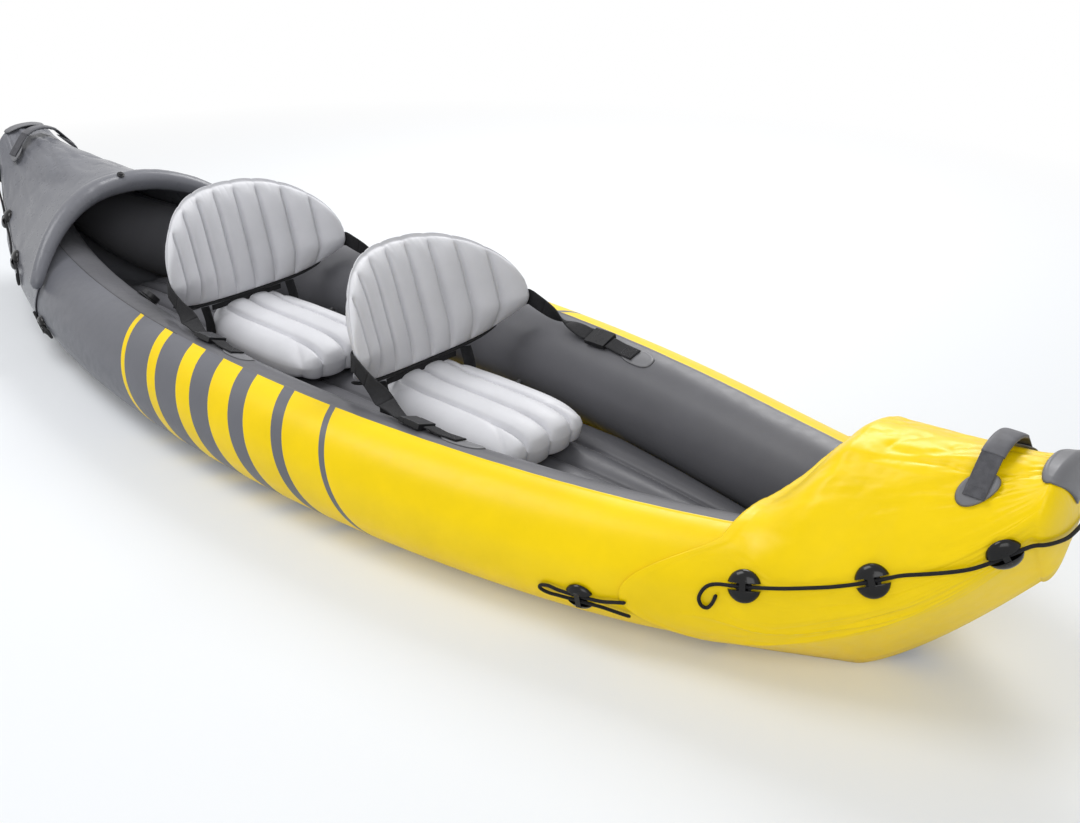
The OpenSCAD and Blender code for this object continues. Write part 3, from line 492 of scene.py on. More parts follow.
def flank_a(x, o):
    # The angle at which the flat lower flank leaves the round of the chamber
    dy = chamber_y(x) - keel_y(x)
    dz = chamber_z(x) - keel_z(x) + o
    slope = math.degrees(math.atan2(dz, dy))
    return 180 - slope + math.degrees(math.asin(min(1, skin_r(x, o) / math.hypot(dy, dz))))


def side_yz(x, a, o):
    turn = math.radians(a)
    r = skin_r(x, o)
    return np.array((chamber_y(x) + r * math.sin(turn), chamber_z(x) + r * math.cos(turn)))


def cover_yz(x, s, o, bow):
    # Round one half of the section: deck to 1, chamber side to 2, flank to 2.5, flat of the keel to 3
    if s <= 1:
        a = shoulder(x, bow)
        top = np.array((0, ridge_z(x, bow) + o))
        end = side_yz(x, a, o)
        reach = 0.4 * np.linalg.norm(end - top)
        lead = top + np.array((end[0] / 2, 0))
        tail = end + reach * np.array((-math.cos(math.radians(a)), math.sin(math.radians(a))))
        return top * (1 - s) ** 3 + lead * 3 * s * (1 - s) ** 2 + tail * 3 * s * s * (1 - s) + end * s ** 3
    if s <= 2:
        return side_yz(x, mix(shoulder(x, bow), flank_a(x, o), s - 1), o)
    if s <= 2.5:
        return mix(side_yz(x, flank_a(x, o), o), np.array((keel_y(x), keel_z(x) - o)), 2 * s - 4)
    return np.array((keel_y(x) * (6 - 2 * s), keel_z(x) - o))


def cover_pt(x, s, o, bow):
    u = max(0.0, (x - half_l) / (nose_d - cover_t + o))
    k = math.sqrt(max(0.0, 1 - u * u))
    y, z = cover_yz(min(x, half_l), abs(s), o, bow)
    mid = (ridge_z(half_l, bow) + keel_z(half_l)) / 2
    return Vector((x if bow else -x, math.copysign(k * y, s), mid + k * (z - mid)))


def cover_edge(s, bow):
    if s <= 1:
        return bow_edge if bow else mix(stern_crown, stern_side, s ** 1.5)
    t = min(1.0, s - 1)
    if bow:
        return mix(bow_edge, bottom_edge, t) - hem_sweep * max(0.0, math.sin(math.pi * t)) ** 1.5
    return mix(stern_side, bottom_edge, t * t)


def crease(x, s, seed):
    # 1 along wandering lines, less to both sides of them
    return 1 - abs(noise.noise(Vector((x, s, seed))))


def fold(x, s, seed):
    # Long drag folds that run with the hull, deepest on the unsupported deck, and slack low on the flank
    free = smooth((x - 1.02) / 0.2) * smooth((1.56 - x) / 0.06)
    deck = 1 - smooth((abs(s) - 0.35) / 0.5)
    low = smooth((abs(s) - 1.28) / 0.25) * smooth((1.44 - x) / 0.08)
    warp = 0.5 * noise.noise(Vector((x * 4, s * 3, seed + 9)))
    wave = noise.noise(Vector((x * 7 + 2.2 * s, s * 5.5 + warp, seed)))
    drag = crease(x * 9 - 3.1 * s + warp, s * 8 + warp, seed + 4)
    small = crease(x * 16 + 4 * s, s * 17 + warp, seed + 6)
    slack = crease(x * 4.5 + 1.6 * s, s * 7 + warp, seed + 12)
    rolls = mix(0.0013, 0.006, deck) * (wave - 0.6) - mix(0.0012, 0.0034, deck) * drag ** 7
    return free * (rolls - mix(0.0006, 0.0012, deck) * small ** 9 + 0.0048 * low * slack ** 4)


def fold_share(s):
    return 1 - smooth((abs(s) - 1.9) / 0.1)


def hook_pull(p, hooks, seed):
    # Short folds that spread from each hook, where the line tugs the skin
    pull = 0.0
    for k, h in enumerate(hooks):
        away = p - h
        d = away.length
        if d < hook_reach:
            spokes = 0.5 + 0.5 * math.cos(5 * math.atan2(away.z, away.x) + 1.3 * k + seed)
            near = smooth((d - hook_rim) / 0.02) * math.exp(-((d / 0.085) ** 2))
            pull -= hook_fold * spokes ** 2 * near
    return pull


def stern_set(x, s):
    # The stern deck is drawn tight between its shoulders, so it hollows and leaves a crease along each
    free = smooth((x - 1.0) / 0.16) * smooth((1.53 - x) / 0.1)
    hollow = math.sin(math.pi * min(1.0, abs(s))) ** 2
    return free * (0.004 * math.exp(-(((abs(s) - 0.98) / 0.07) ** 2)) - 0.008 * hollow)


deck_s = [j / 42 for j in range(43)]
side_s = [1 + j / 64 for j in range(1, 65)]
keel_s = [2 + j / 12 for j in range(1, 13)]
half_s = deck_s + side_s + keel_s
loop_s = half_s + [-s for s in reversed(half_s[1:-1])]
yellow_cover = paint_with("yellow_cover", vinyl_grain, yellow, 0.34, 0.14, coat=0.06)
grey_cover = paint_with("grey_cover", vinyl_grain, colour(112, 113, 119), 0.3, 0.16, coat=0.3)

for bow, end in ends:
    seed = 1.7 if bow else 8.3
    hooks = []
    for x, a in hook_spots[end]:
        y, z = side_yz(x, a, cover_t)
        hooks += [Vector((x, y, z)), Vector((x, -y, z))]
    rings = []
    for i in range(skin_rows + nose_rows + 1):
        ring = []
        for s in loop_s:
            if i <= skin_rows:
                x = mix(cover_edge(abs(s), bow), half_l, i / skin_rows)
            else:
                x = half_l + nose_d * math.sin(math.radians(90 * (i - skin_rows) / (nose_rows + 0.2)))
            skin = cover_pt(x, s, cover_t, bow)
            near = Vector((abs(skin.x), skin.y, skin.z))
            tugged = hook_pull(near, hooks, seed) * smooth((x - 1.05) / 0.1)
            relief = fold_share(s) * (fold(x, s, seed) + tugged)
            relief += hem_t * (1 - smooth((i - 4) / 2)) + (0 if bow else stern_set(x, s))
            ring.append(cover_pt(x, s, cover_t + relief, bow))
        rings.append(ring)
    cover = loft(end + "_cover_skin", rings, merge=0.00005, capped=False)
    tip = bmesh.new()
    tip.from_mesh(cover.data)
    tip.edges.ensure_lookup_table()
    nose_rim = [e for e in tip.edges if e.is_boundary and abs(e.verts[0].co.x) > half_l]
    bmesh.ops.holes_fill(tip, edges=nose_rim)
    bmesh.ops.recalc_face_normals(tip, faces=tip.faces)
    top_face = max(tip.faces, key=lambda f: f.calc_center_median().z)
    if top_face.normal.z < 0:
        bmesh.ops.reverse_faces(tip, faces=tip.faces)
    tip.to_mesh(cover.data)
    tip.free()
    wall = cover.modifiers.new("wall", "SOLIDIFY")
    wall.thickness = wall_t
    wall.offset = -1
    if bow:
        fit(cover, "hull", yellow_cover, "yellow_cover", "bow_cover")
    else:
        fit(cover, "hull", grey_cover, "grey_cover", "stern_cover")

# Splash arch
# A thin inflated rim of the same vinyl, welded along the stern cover's raised front edge to keep waves
# out of the cockpit. It tapers to both feet and carries a small push-in valve at its crown.
arch_r = 0.029
arch_taper = 0.42
arch_crimp = 0.0007
arch_steps = 96
arch_sides = 28


def around(n):
    return [(math.cos(math.tau * j / n), math.sin(math.tau * j / n)) for j in range(n)]


def arch_size(v):
    return arch_r * (1 - arch_taper * v * v)


def arch_at(v):
    s = abs(v)
    r = arch_size(s)
    clear = mix(-0.35 * r, r + 2 * gap, s ** 1.2)
    return cover_pt(cover_edge(s, False) - 1.16 * (r + gap), v, clear, False)


rings = []
for v in spread(arch_steps):
    centre = arch_at(v)
    run = (arch_at(min(1, v + 0.01)) - arch_at(max(-1, v - 0.01))).normalized()
    ahead = (Vector((-1, 0, 0)) + run.x * run).normalized()
    aside = ahead.cross(run)
    foot = min(1.0, (1 - abs(v)) / 0.04)
    r = arch_size(v) * mix(0.35, 1, math.sqrt(1 - (1 - foot) ** 2))
    ring = []
    for c, e in around(arch_sides):
        crimp = arch_crimp * (noise.noise(Vector((v * 26, 2.5 * c, 5.5))) - 1)
        ring.append(centre + (r + crimp) * (c * ahead + e * aside))
    rings.append(ring)
fit(loft("splash_arch_rim", rings), "hull", grey_cover, "grey_cover", "splash_arch")

# Nose patches and keel strip
# A tough oval of plain vinyl is welded over each nose, where the boat is set down, and a rubber wear
# strip runs up the first of the bow keel. The flaps inside the valves are of the same rubber.
patch_vinyl = paint_with("patch_vinyl", vinyl_grain, colour(118, 118, 121), 0.4, 0.2, coat=0.1)
wear_rubber = paint_with("wear_rubber", vinyl_grain, colour(40, 40, 42), 0.62, 0.35)
weld_at = 0.84
edge_from = 0.93
nose_from = 0.002
nose_half = 0.025
nose_s = 0.62
nose_stand = 0.0014


def disc_uv(u, v, power):
    m = max(abs(u), abs(v))
    d = (abs(u) ** power + abs(v) ** power) ** (1 / power)
    return (0, 0) if d == 0 else (u * m / d, v * m / d)


def two_faced(name, upper, lower, us, vs):
    # A thin or padded piece between two surfaces over one grid, closed round its rim
    n, m = len(us), len(vs)
    b = n * m
    points = [upper(u, v) for u in us for v in vs] + [lower(u, v) for u in us for v in vs]
    faces = []
    for i in range(n - 1):
        for j in range(m - 1):
            k = i * m + j
            faces.append((k, k + m, k + m + 1, k + 1))
            faces.append((b + k, b + k + 1, b + k + m + 1, b + k + m))
    for i in range(n - 1):
        for k in (i * m, i * m + m - 1):
            faces.append((k, k + m, b + k + m, b + k))
    for j in range(m - 1):
        for k in (j, b - m + j):
            faces.append((k, k + 1, b + k + 1, b + k))
    return mesh_piece(name, points, faces, merge=0.00002)


def welded_patch(name, at, steps, thick, rim):
    # at(u, v, o) gives the surface; the sheet thins to a soft edge outside a raised weld line
    def surface(u, v):
        m = max(abs(u), abs(v))
        edge = math.sqrt(max(0.0, 1 - max(0.0, (m - edge_from) / (1 - edge_from)) ** 2))
        weld = rim * math.exp(-(((m - weld_at) / 0.05) ** 2))
        return at(u, v, thick * edge + weld)

    return two_faced(name, surface, lambda u, v: at(u, v, 0), spread(steps), spread(steps))


for bow, end in ends:
    def nose_at(u, v, o):
        p = disc_uv(u, v, 2)
        return cover_pt(half_l + nose_from + nose_half * p[0], nose_s * p[1], cover_t + nose_stand + o, bow)

    oval = welded_patch(end + "_nose_oval", nose_at, 36, 0.0024, 0.0007)
    fit(oval, "hull", patch_vinyl, "grey_patch", end + "_nose_patch")

repaint("keel_strip", wear_rubber)
repaint("valve_flaps", wear_rubber)

# Carrying handles
# A moulded grip hangs on two short webbing legs, which are sewn to round vinyl tabs on the deck.
# The legs bend, so the grip can be lifted off the deck and pressed down to it.
handle_x = 1.436
grip_r = 0.09
grip_half = 0.046
grip_stand = 0.022
grip_t = 0.004
grip_w = 0.036
grip_steps = 48
grip_sides = 28
hold_r = 0.086
leg_w = 0.034
leg_t = 0.003
leg_stand = 0.0047
grip_lip = 0.0016
grip_tuck = 0.008
tab_s = 0.5
tab_r = 0.028
heel_s = 0.59
knee_s = 0.38
knee_stand = 0.007

# Woven webbing: slanting ribs over fine lengthwise yarns, a little fuzzy
web_weave, given = finish_group("web_weave", "Pitch")


def woven(operation, *values):
    return math_node(web_weave, operation, *values)


spot = add(web_weave, "TexCoord").outputs
cross, run_on = add(web_weave, "SeparateXYZ", {0: spot["UV"]}).outputs[:2]
rows = woven("MULTIPLY", run_on, given["Pitch"])
picks = woven("MULTIPLY", cross, given["Pitch"])
zigzag = woven("PINGPONG", picks, 2.0)
rib = woven("SINE", woven("MULTIPLY", woven("ADD", rows, zigzag), 6.2832))
yarn = woven("SINE", woven("MULTIPLY", picks, 12.566))
fuzz = mottle(web_weave, spot["Object"], 90.0)
# The shade follows the ribs' relief, lighter on the crests and darker in the troughs between them: painted
# shade of the weave. The fuzz in it is a random tone of the yarn.
shade = ramp(web_weave, woven("ADD", woven("MULTIPLY", rib, 0.2), fuzz), 0.2, 0.9, 0.7, 1.35)
rough = woven("ADD", given["Gloss"], woven("MULTIPLY", fuzz, 0.1))
give_out(web_weave, given, shade, rough, woven("ADD", rib, woven("MULTIPLY", yarn, 0.4)))
webbing = paint_with("webbing", web_weave, colour(40, 40, 42), 0.7, 0.5, depth=0.0004, Pitch=420.0)
grey_web = paint_with("grey_web", web_weave, colour(86, 86, 90), 0.6, 0.4, depth=0.0004, Pitch=420.0)
thread = paint_with("thread", web_weave, colour(92, 92, 94), 0.5, 0.2, depth=0.0002, Pitch=900.0)


def ribbon(name, places, widths, wide, thick, first=0, last=None):
    # A flat woven strip through places, or one length of it, with rounded selvedges
    n = len(places)
    half = wide / 2
    section = [(k / 5 * (half - 0.001), 1) for k in range(-5, 6)] + [(half, 0)]
    section += [(k / 5 * (half - 0.001), -1) for k in range(5, -6, -1)] + [(-half, 0)]
    rings = []
    for i in range(n):
        run = (places[min(n - 1, i + 1)] - places[max(0, i - 1)]).normalized()
        out = (widths[i] - widths[i].dot(run) * run).normalized()
        up = run.cross(out)
        rings.append([places[i] + c * out + e * thick / 2 * up for c, e in section])
    return loft(name, rings[first:n if last is None else last + 1])


def curve_through(points, steps):
    made = []
    n = len(points) - 1
    for i in range(n):
        a, b, c, d = points[max(0, i - 1)], points[i], points[i + 1], points[min(n, i + 2)]
        for k in range(steps):
            t = k / steps
            bend = (2 * a - 5 * b + 4 * c - d) * t * t + (3 * b - a - 3 * c + d) * t ** 3
            made.append((2 * b + (c - a) * t + bend) / 2)
    return made + [points[n]]


# Sewing: a tree that lays one short raised stitch after another along a drawn line
sewing = bpy.data.node_groups.new("sewing", "GeometryNodeTree")
for key, kind, way in (("Geometry", "Geometry", "INPUT"), ("Pitch", "Float", "INPUT"),
                       ("Thickness", "Float", "INPUT"), ("Thread", "Material", "INPUT"),
                       ("Geometry", "Geometry", "OUTPUT")):
    sewing.interface.new_socket(name=key, in_out=way, socket_type="NodeSocket" + kind)
source = add(sewing, "NodeGroupInput").outputs
drawn = add(sewing, "GeometryNodeMeshToCurve", {"Mesh": source["Geometry"]}).outputs[0]
stepped = {"Curve": drawn, "Length": source["Pitch"]}
spots = add(sewing, "GeometryNodeCurveToPoints", stepped, mode="LENGTH").outputs
bead = add(sewing, "GeometryNodeMeshIcoSphere", {"Radius": 0.5, "Subdivisions": 1}).outputs["Mesh"]
stitch_l = math_node(sewing, "MULTIPLY", source["Pitch"], 0.72)
stitch = add(sewing, "CombineXYZ", {0: source["Thickness"], 1: source["Thickness"], 2: stitch_l}).outputs[0]
laid = add(sewing, "GeometryNodeInstanceOnPoints", {
    "Points": spots["Points"], "Instance": bead, "Rotation": spots["Rotation"], "Scale": stitch}).outputs[0]
real = add(sewing, "GeometryNodeRealizeInstances", {0: laid}).outputs[0]
dyed = add(sewing, "GeometryNodeSetMaterial", {"Geometry": real, "Material": source["Thread"]}).outputs[0]
add(sewing, "NodeGroupOutput", {"Geometry": dyed})


def stitch_row(name, lines, pitch=0.0045, thickness=0.0009):
    points, edges = [], []
    for line in lines:
        edges += [(len(points) + i, len(points) + i + 1) for i in range(len(line) - 1)]
        points += [tuple(p) for p in line]
    drawn_mesh = bpy.data.meshes.new(name + "_line")
    drawn_mesh.from_pydata(points, edges, [])
    guide = placed(name + "_line", drawn_mesh)
    sewn = guide.modifiers.new("sewing", "NODES")
    sewn.node_group = sewing
    sockets = {item.name: item.identifier for item in sewing.interface.items_tree if item.in_out == "INPUT"}
    sewn[sockets["Pitch"]] = pitch
    sewn[sockets["Thickness"]] = thickness
    sewn[sockets["Thread"]] = thread
    graph = bpy.context.evaluated_depsgraph_get()
    mesh = bpy.data.meshes.new_from_object(guide.evaluated_get(graph))
    bpy.data.objects.remove(guide)
    mesh.shade_smooth()
    return placed(name, mesh)


# Moulded plastic: a fine sparked grain, a little polish where hands rub
moulded_grain, given = finish_group("moulded_grain")
spot = add(moulded_grain, "TexCoord").outputs["Object"]
spark = mottle(moulded_grain, spot, 1600.0, Detail=2.0)
rubbed = mottle(moulded_grain, spot, 40.0, Detail=3.0)
shade = ramp(moulded_grain, rubbed, 0.3, 0.7, 0.85, 1.2)
rough = math_node(moulded_grain, "ADD", given["Gloss"], ramp(moulded_grain, rubbed, 0.3, 0.7, 0.06, -0.05))
give_out(moulded_grain, given, shade, rough, spark)
grip_plastic = paint_with("grip_plastic", moulded_grain, colour(98, 98, 102), 0.45, 0.2, depth=0.0002)
fore_aft = Vector((1, 0, 0))

for bow, end in ends:
    far = 1 if bow else -1
    grip_top = ridge_z(handle_x, bow) + cover_t + grip_stand
    step = 0.05
    q = cover_pt(handle_x, tab_s + step, cover_t, bow) - cover_pt(handle_x, tab_s, cover_t, bow)
    tab_half = tab_r / (q.length / step)

    def in_grip(y):
        return grip_top - grip_r + math.sqrt(hold_r ** 2 - y ** 2) - 0.001

    for side, hand in hands:
        def tab_at(u, v, o):
            p = disc_uv(u, v, 2)
            across = side * (tab_s + tab_half * p[1])
            return cover_pt(handle_x + tab_r * p[0], across, cover_t + 0.0005 + o, bow)

        tag = "%s_%s" % (end, hand)
        tab = welded_patch(tag + "_handle_tab", tab_at, 24, 0.002, 0.0006)
        fit(tab, "hull", patch_vinyl, "grey_patch", end + "_handle_tabs")
        heel = cover_pt(handle_x, side * heel_s, cover_t + leg_stand, bow)
        foot = cover_pt(handle_x, side * tab_s, cover_t + leg_stand, bow)
        knee = cover_pt(handle_x, side * knee_s, cover_t + knee_stand, bow)
        hold = Vector((far * handle_x, side * (grip_half + grip_lip), in_grip(grip_half)))
        tuck = grip_half - grip_tuck
        inside = Vector((hold.x, side * tuck, in_grip(tuck)))
        route = curve_through([heel, foot, knee, hold, inside], 6)
        leg = ribbon(tag + "_handle_leg", route, [fore_aft] * len(route), leg_w, leg_t)
        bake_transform(leg, "hull", end + "_handle", start=foot, end=hold)
        fit(leg, "hull", grey_web, "webbing", end + "_handle_straps")
        up = (foot - heel).cross(fore_aft).normalized()
        box = []
        for c, e in ((-1, 0.1), (1, 0.1), (1, 0.95), (-1, 0.95), (-1, 0.1)):
            p = mix(heel, foot, e)
            box.append(Vector((p.x + 0.012 * c, p.y, p.z)) + 0.0016 * up * math.copysign(1, up.z))
        fit(stitch_row(tag + "_leg_stitches", [box]), "hull", thread, "webbing")
    rings = []
    for i in range(grip_steps + 1):
        t = i / grip_steps
        swing = mix(-1, 1, t) * math.asin(grip_half / grip_r)
        finger = 0.0009 * math.cos(2 * math.pi * 7 * t) * smooth((0.5 - abs(t - 0.5)) / 0.12)
        ring = []
        for c, e in around(grip_sides):
            wide = grip_w / 2 * math.copysign(abs(c) ** 0.45, c)
            tall = -grip_t + grip_t * math.copysign(abs(e) ** 0.6, e) - (finger if e < -0.3 else 0)
            r = grip_r + tall
            ring.append((far * handle_x + wide, r * math.sin(swing), grip_top - grip_r + r * math.cos(swing)))
        rings.append(ring)
    fit(loft(end + "_grip", rings), end + "_handle", grip_plastic, "grey_patch", end + "_handle_grip")

# Line hooks
# Round moulded hooks are bonded to the covers and, next to the hems, to the chambers. The cord is
# pressed into a slot under each hook's bar. The moulding has softly rounded edges and a polished face.
hook_plastic = paint_with("hook_plastic", moulded_grain, colour(5, 5, 6), 0.1, 0.04, coat=0.25, depth=0.0001)
sharp = math.radians(38)


def softened(name, node_name, edge, body, paint, slot):
    # The solid's own shape with its corners rounded as a mould leaves them
    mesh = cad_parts[node_name].data.copy()
    work = bmesh.new()
    work.from_mesh(mesh)
    bmesh.ops.remove_doubles(work, verts=work.verts, dist=0.00001)
    bmesh.ops.dissolve_limit(work, angle_limit=math.radians(1), verts=work.verts, edges=work.edges)
    work.to_mesh(mesh)
    work.free()
    mesh.shade_smooth()
    mesh.set_sharp_from_angle(angle=sharp)
    piece = placed(name, mesh)
    round_off = piece.modifiers.new("round_off", "BEVEL")
    round_off.width = edge
    round_off.segments = 2
    round_off.limit_method = "ANGLE"
    round_off.angle_limit = sharp
    return fit(piece, body, paint, slot, node_name)


for bow, end in ends:
    softened(end + "_hooks", end + "_line_hooks", 0.0007, "hull", hook_plastic, "hook_plastic")

# Grab lines and hem cords
# Braided cord, pressed into the hooks. One grab line runs round each nose from side to side and ends in
# a loose curl at each last hook. A short cord pulls each cover's hem back to the hook on the chamber.
rope = paint_with("rope", web_weave, colour(34, 34, 36), 0.62, 0.8, depth=0.0005, Pitch=330.0)
cord_d = 0.0062
cord_sides = 12

# Each step of a route: millimetres from the tip, degrees round the chamber, millimetres off the skin
bow_line = (
    (395, 75, 5), (398, 82, 5), (405, 87, 5), (414, 86, 5), (420, 80, 5), (417, 73, 6), (409, 68, 7),
    (395, 66, 7.5), (377, 66, 7.5), (358, 66, 7.5), (339, 66, 7.5), (320, 66, 7), (292, 66, 5), (247, 66, 5),
    (221, 66, 7), (202, 66, 7.5), (183, 66, 7.5), (164, 66, 7.5), (145, 67, 7), (117, 73, 5), (89, 81, 5.5),
    (65, 88.6, 7.5), (46, 94.3, 7.5), (27, 100, 7.5))
stern_line = (
    (414, 79, 5), (417, 86, 5), (424, 91, 5), (433, 90, 5), (439, 84, 5), (436, 77, 6), (428, 72, 7),
    (414, 70, 7.5), (396, 69.5, 7.5), (377, 69, 7.5), (358, 68.5, 7.5), (339, 68, 7), (312, 66, 5),
    (267, 63, 5), (239, 62, 7), (220, 62, 7.5), (201, 62, 7.5), (182, 62, 7.5), (163, 63, 7), (127, 70, 5),
    (91, 81, 5.5), (65, 88.6, 7.5), (46, 94.3, 7.5), (27, 100, 7.5))

# Round the nose: millimetres from the tip, to the side and up
nose_line = ((-4, 95.8, 340), (-18, 80, 341), (-27, 57, 339), (-32, 30, 336), (-33.5, 0, 336))

# The hem cords in the routes' three measures, of which only the first differs between bow and stern
bow_hem = (539, 557, 581, 602, 622, 642, 661, 677, 690, 695, 690, 677, 661, 642, 622, 602, 581, 557, 535)
stern_hem = (581, 595, 608, 627, 647, 667, 686, 702, 715, 720, 715, 702, 686, 667, 647, 627, 608, 589, 563)
hem_round = (98, 100, 102.5, 102.9, 102.9, 102.9, 102.5, 101.5, 103, 106,
             109, 110.5, 109.5, 109.1, 109.1, 109.1, 109.5, 112, 114)
hem_off = (7, 7, 7.5, 7.5, 7.5, 7.5, 7, 6, 6, 6, 6, 6, 7, 7.5, 7.5, 7.5, 7.5, 7, 7)


def skin_pt(x, a):
    y, z = side_yz(x, a, cover_t)
    return Vector((x, y, z))


def hull_pt(x, a):
    return chamber_pt(x, a, 0)


def stood_off(at, step):
    x, a, o = half_l - step[0] / 1000, step[1], step[2] / 1000
    run = at(x + 0.004, a) - at(x - 0.004, a)
    turn = at(x, a + 3) - at(x, a - 3)
    return at(x, a) + o * run.cross(turn).normalized()


def cord_tube(name, path, d):
    rings = []
    n = len(path)
    normal = None
    for i in range(n):
        run = (path[min(n - 1, i + 1)] - path[max(0, i - 1)]).normalized()
        start = run.cross(Vector((0.31, 0.17, 0.93))) if normal is None else normal
        normal = (start - start.dot(run) * run).normalized()
        aside = run.cross(normal)
        r = d / 2 * (0.62 if i in (0, n - 1) else 1)
        rings.append([path[i] + r * (c * normal + e * aside) for c, e in around(cord_sides)])
    return loft(name, rings)


def at_end(points, bow):
    return [Vector((p.x if bow else -p.x, p.y, p.z)) for p in points]


def on_side(points, side):
    return [Vector((p.x, side * p.y, p.z)) for p in points]


for bow, end in ends:
    half = [stood_off(skin_pt, step) for step in (bow_line if bow else stern_line)]
    half += [Vector((half_l - p[0] / 1000, p[1] / 1000, p[2] / 1000)) for p in nose_line]
    whole = half + on_side(reversed(half[:-1]), -1)
    route = curve_through(at_end(whole, bow), 5)
    tube = cord_tube(end + "_grab_cord", route, cord_d)
    fit(tube, "hull", rope, "rope", end + "_grab_line")
    hem = [stood_off(hull_pt, step) for step in zip(bow_hem if bow else stern_hem, hem_round, hem_off)]
    for side, hand in hands:
        route = curve_through(on_side(at_end(hem, bow), side), 5)
        tube = cord_tube("%s_%s_hem_cord" % (end, hand), route, cord_d)
        fit(tube, "hull", rope, "rope", end + "_hem_cords")

# Air valves
# Each chamber and the mat has a screw-capped valve on a welded flange; the arch and the seat pads have
# small push-in ones. They are moulded in dark plastic, with finger ribs round the caps.
valve_plastic = paint_with("valve_plastic", moulded_grain, colour(46, 46, 48), 0.35, 0.15, depth=0.0002)
for name in ("port", "starboard", "floor"):
    softened(name + "_valve_flange", name + "_valve_seat", 0.0006, "hull", valve_plastic, "valve_plastic")
    softened(name + "_valve_lid", name + "_valve_cap", 0.0008, name + "_cap", valve_plastic, "valve_plastic")
softened("arch_valve", "splash_arch_valve", 0.0005, "hull", valve_plastic, "valve_plastic")

# Seats
# Each seat is an inflated cushion of four lengthwise lobes, and an inflated backrest of nine upright
# ones, which wraps round the paddler. The welds between the lobes pull the vinyl into short puckers.
# A cloth hinge and two ties join them, and webbing straps run from the backrest to both chambers.
seat_vinyl = paint_with("seat_vinyl", vinyl_grain, colour(214, 214, 218), 0.46, 0.3, coat=0.05)
buckle_plastic = paint_with("buckle_plastic", moulded_grain, colour(34, 34, 36), 0.3, 0.12, depth=0.0002)
hinge_z = 0.182
hinge_w = 0.208
seam_t = 0.003
seam_z = 0.1188
cushion_h = 0.0984
cushion_l = 0.424
cushion_w = 0.268
cushion_back = 0.04
cushion_lobes = 4
piping_r = 0.004
piping_reach = 0.86
back_h = 0.276
back_t = 0.056
back_lobes = 9
back_rows = 56
strap_h = 0.074
strap_w = 0.038
strap_t = 0.003
strap_lead = 0.016
strap_sag = 0.004
strap_cuts = (17, 28)
back_reach = 0.84
wing_lap = 0.035
wing_out = 0.014
wing_drop = 0.003
plug_tail = 0.014
sewn_off = 0.0155
tie_w = 0.038
anchor_a = -20
anchor_l = 0.09
anchor_w = 0.046
anchor_t = 0.002
anchor_ahead = 0.393
tab_w = 0.034
socket_ahead = 0.288
buckle_l = 0.04
buckle_lift = 0.0085


def weld(v, n):
    # The narrow valley where the two faces are joined
    p = (v + 1) / 2 * n
    inner = 0 < round(p) < n
    return 0.45 * math.exp(-(((p - round(p)) / 0.075) ** 2)) if inner else 0.0


def pucker(v, n, run, seed, pull):
    # Short pulls that cross a weld, dying out on the crown of the lobe
    p = (v + 1) / 2 * n
    near = math.exp(-((abs(p - round(p)) / 0.22) ** 2))
    return -pull * near * abs(noise.noise(Vector((run, round(p) * 3.7, seed))))


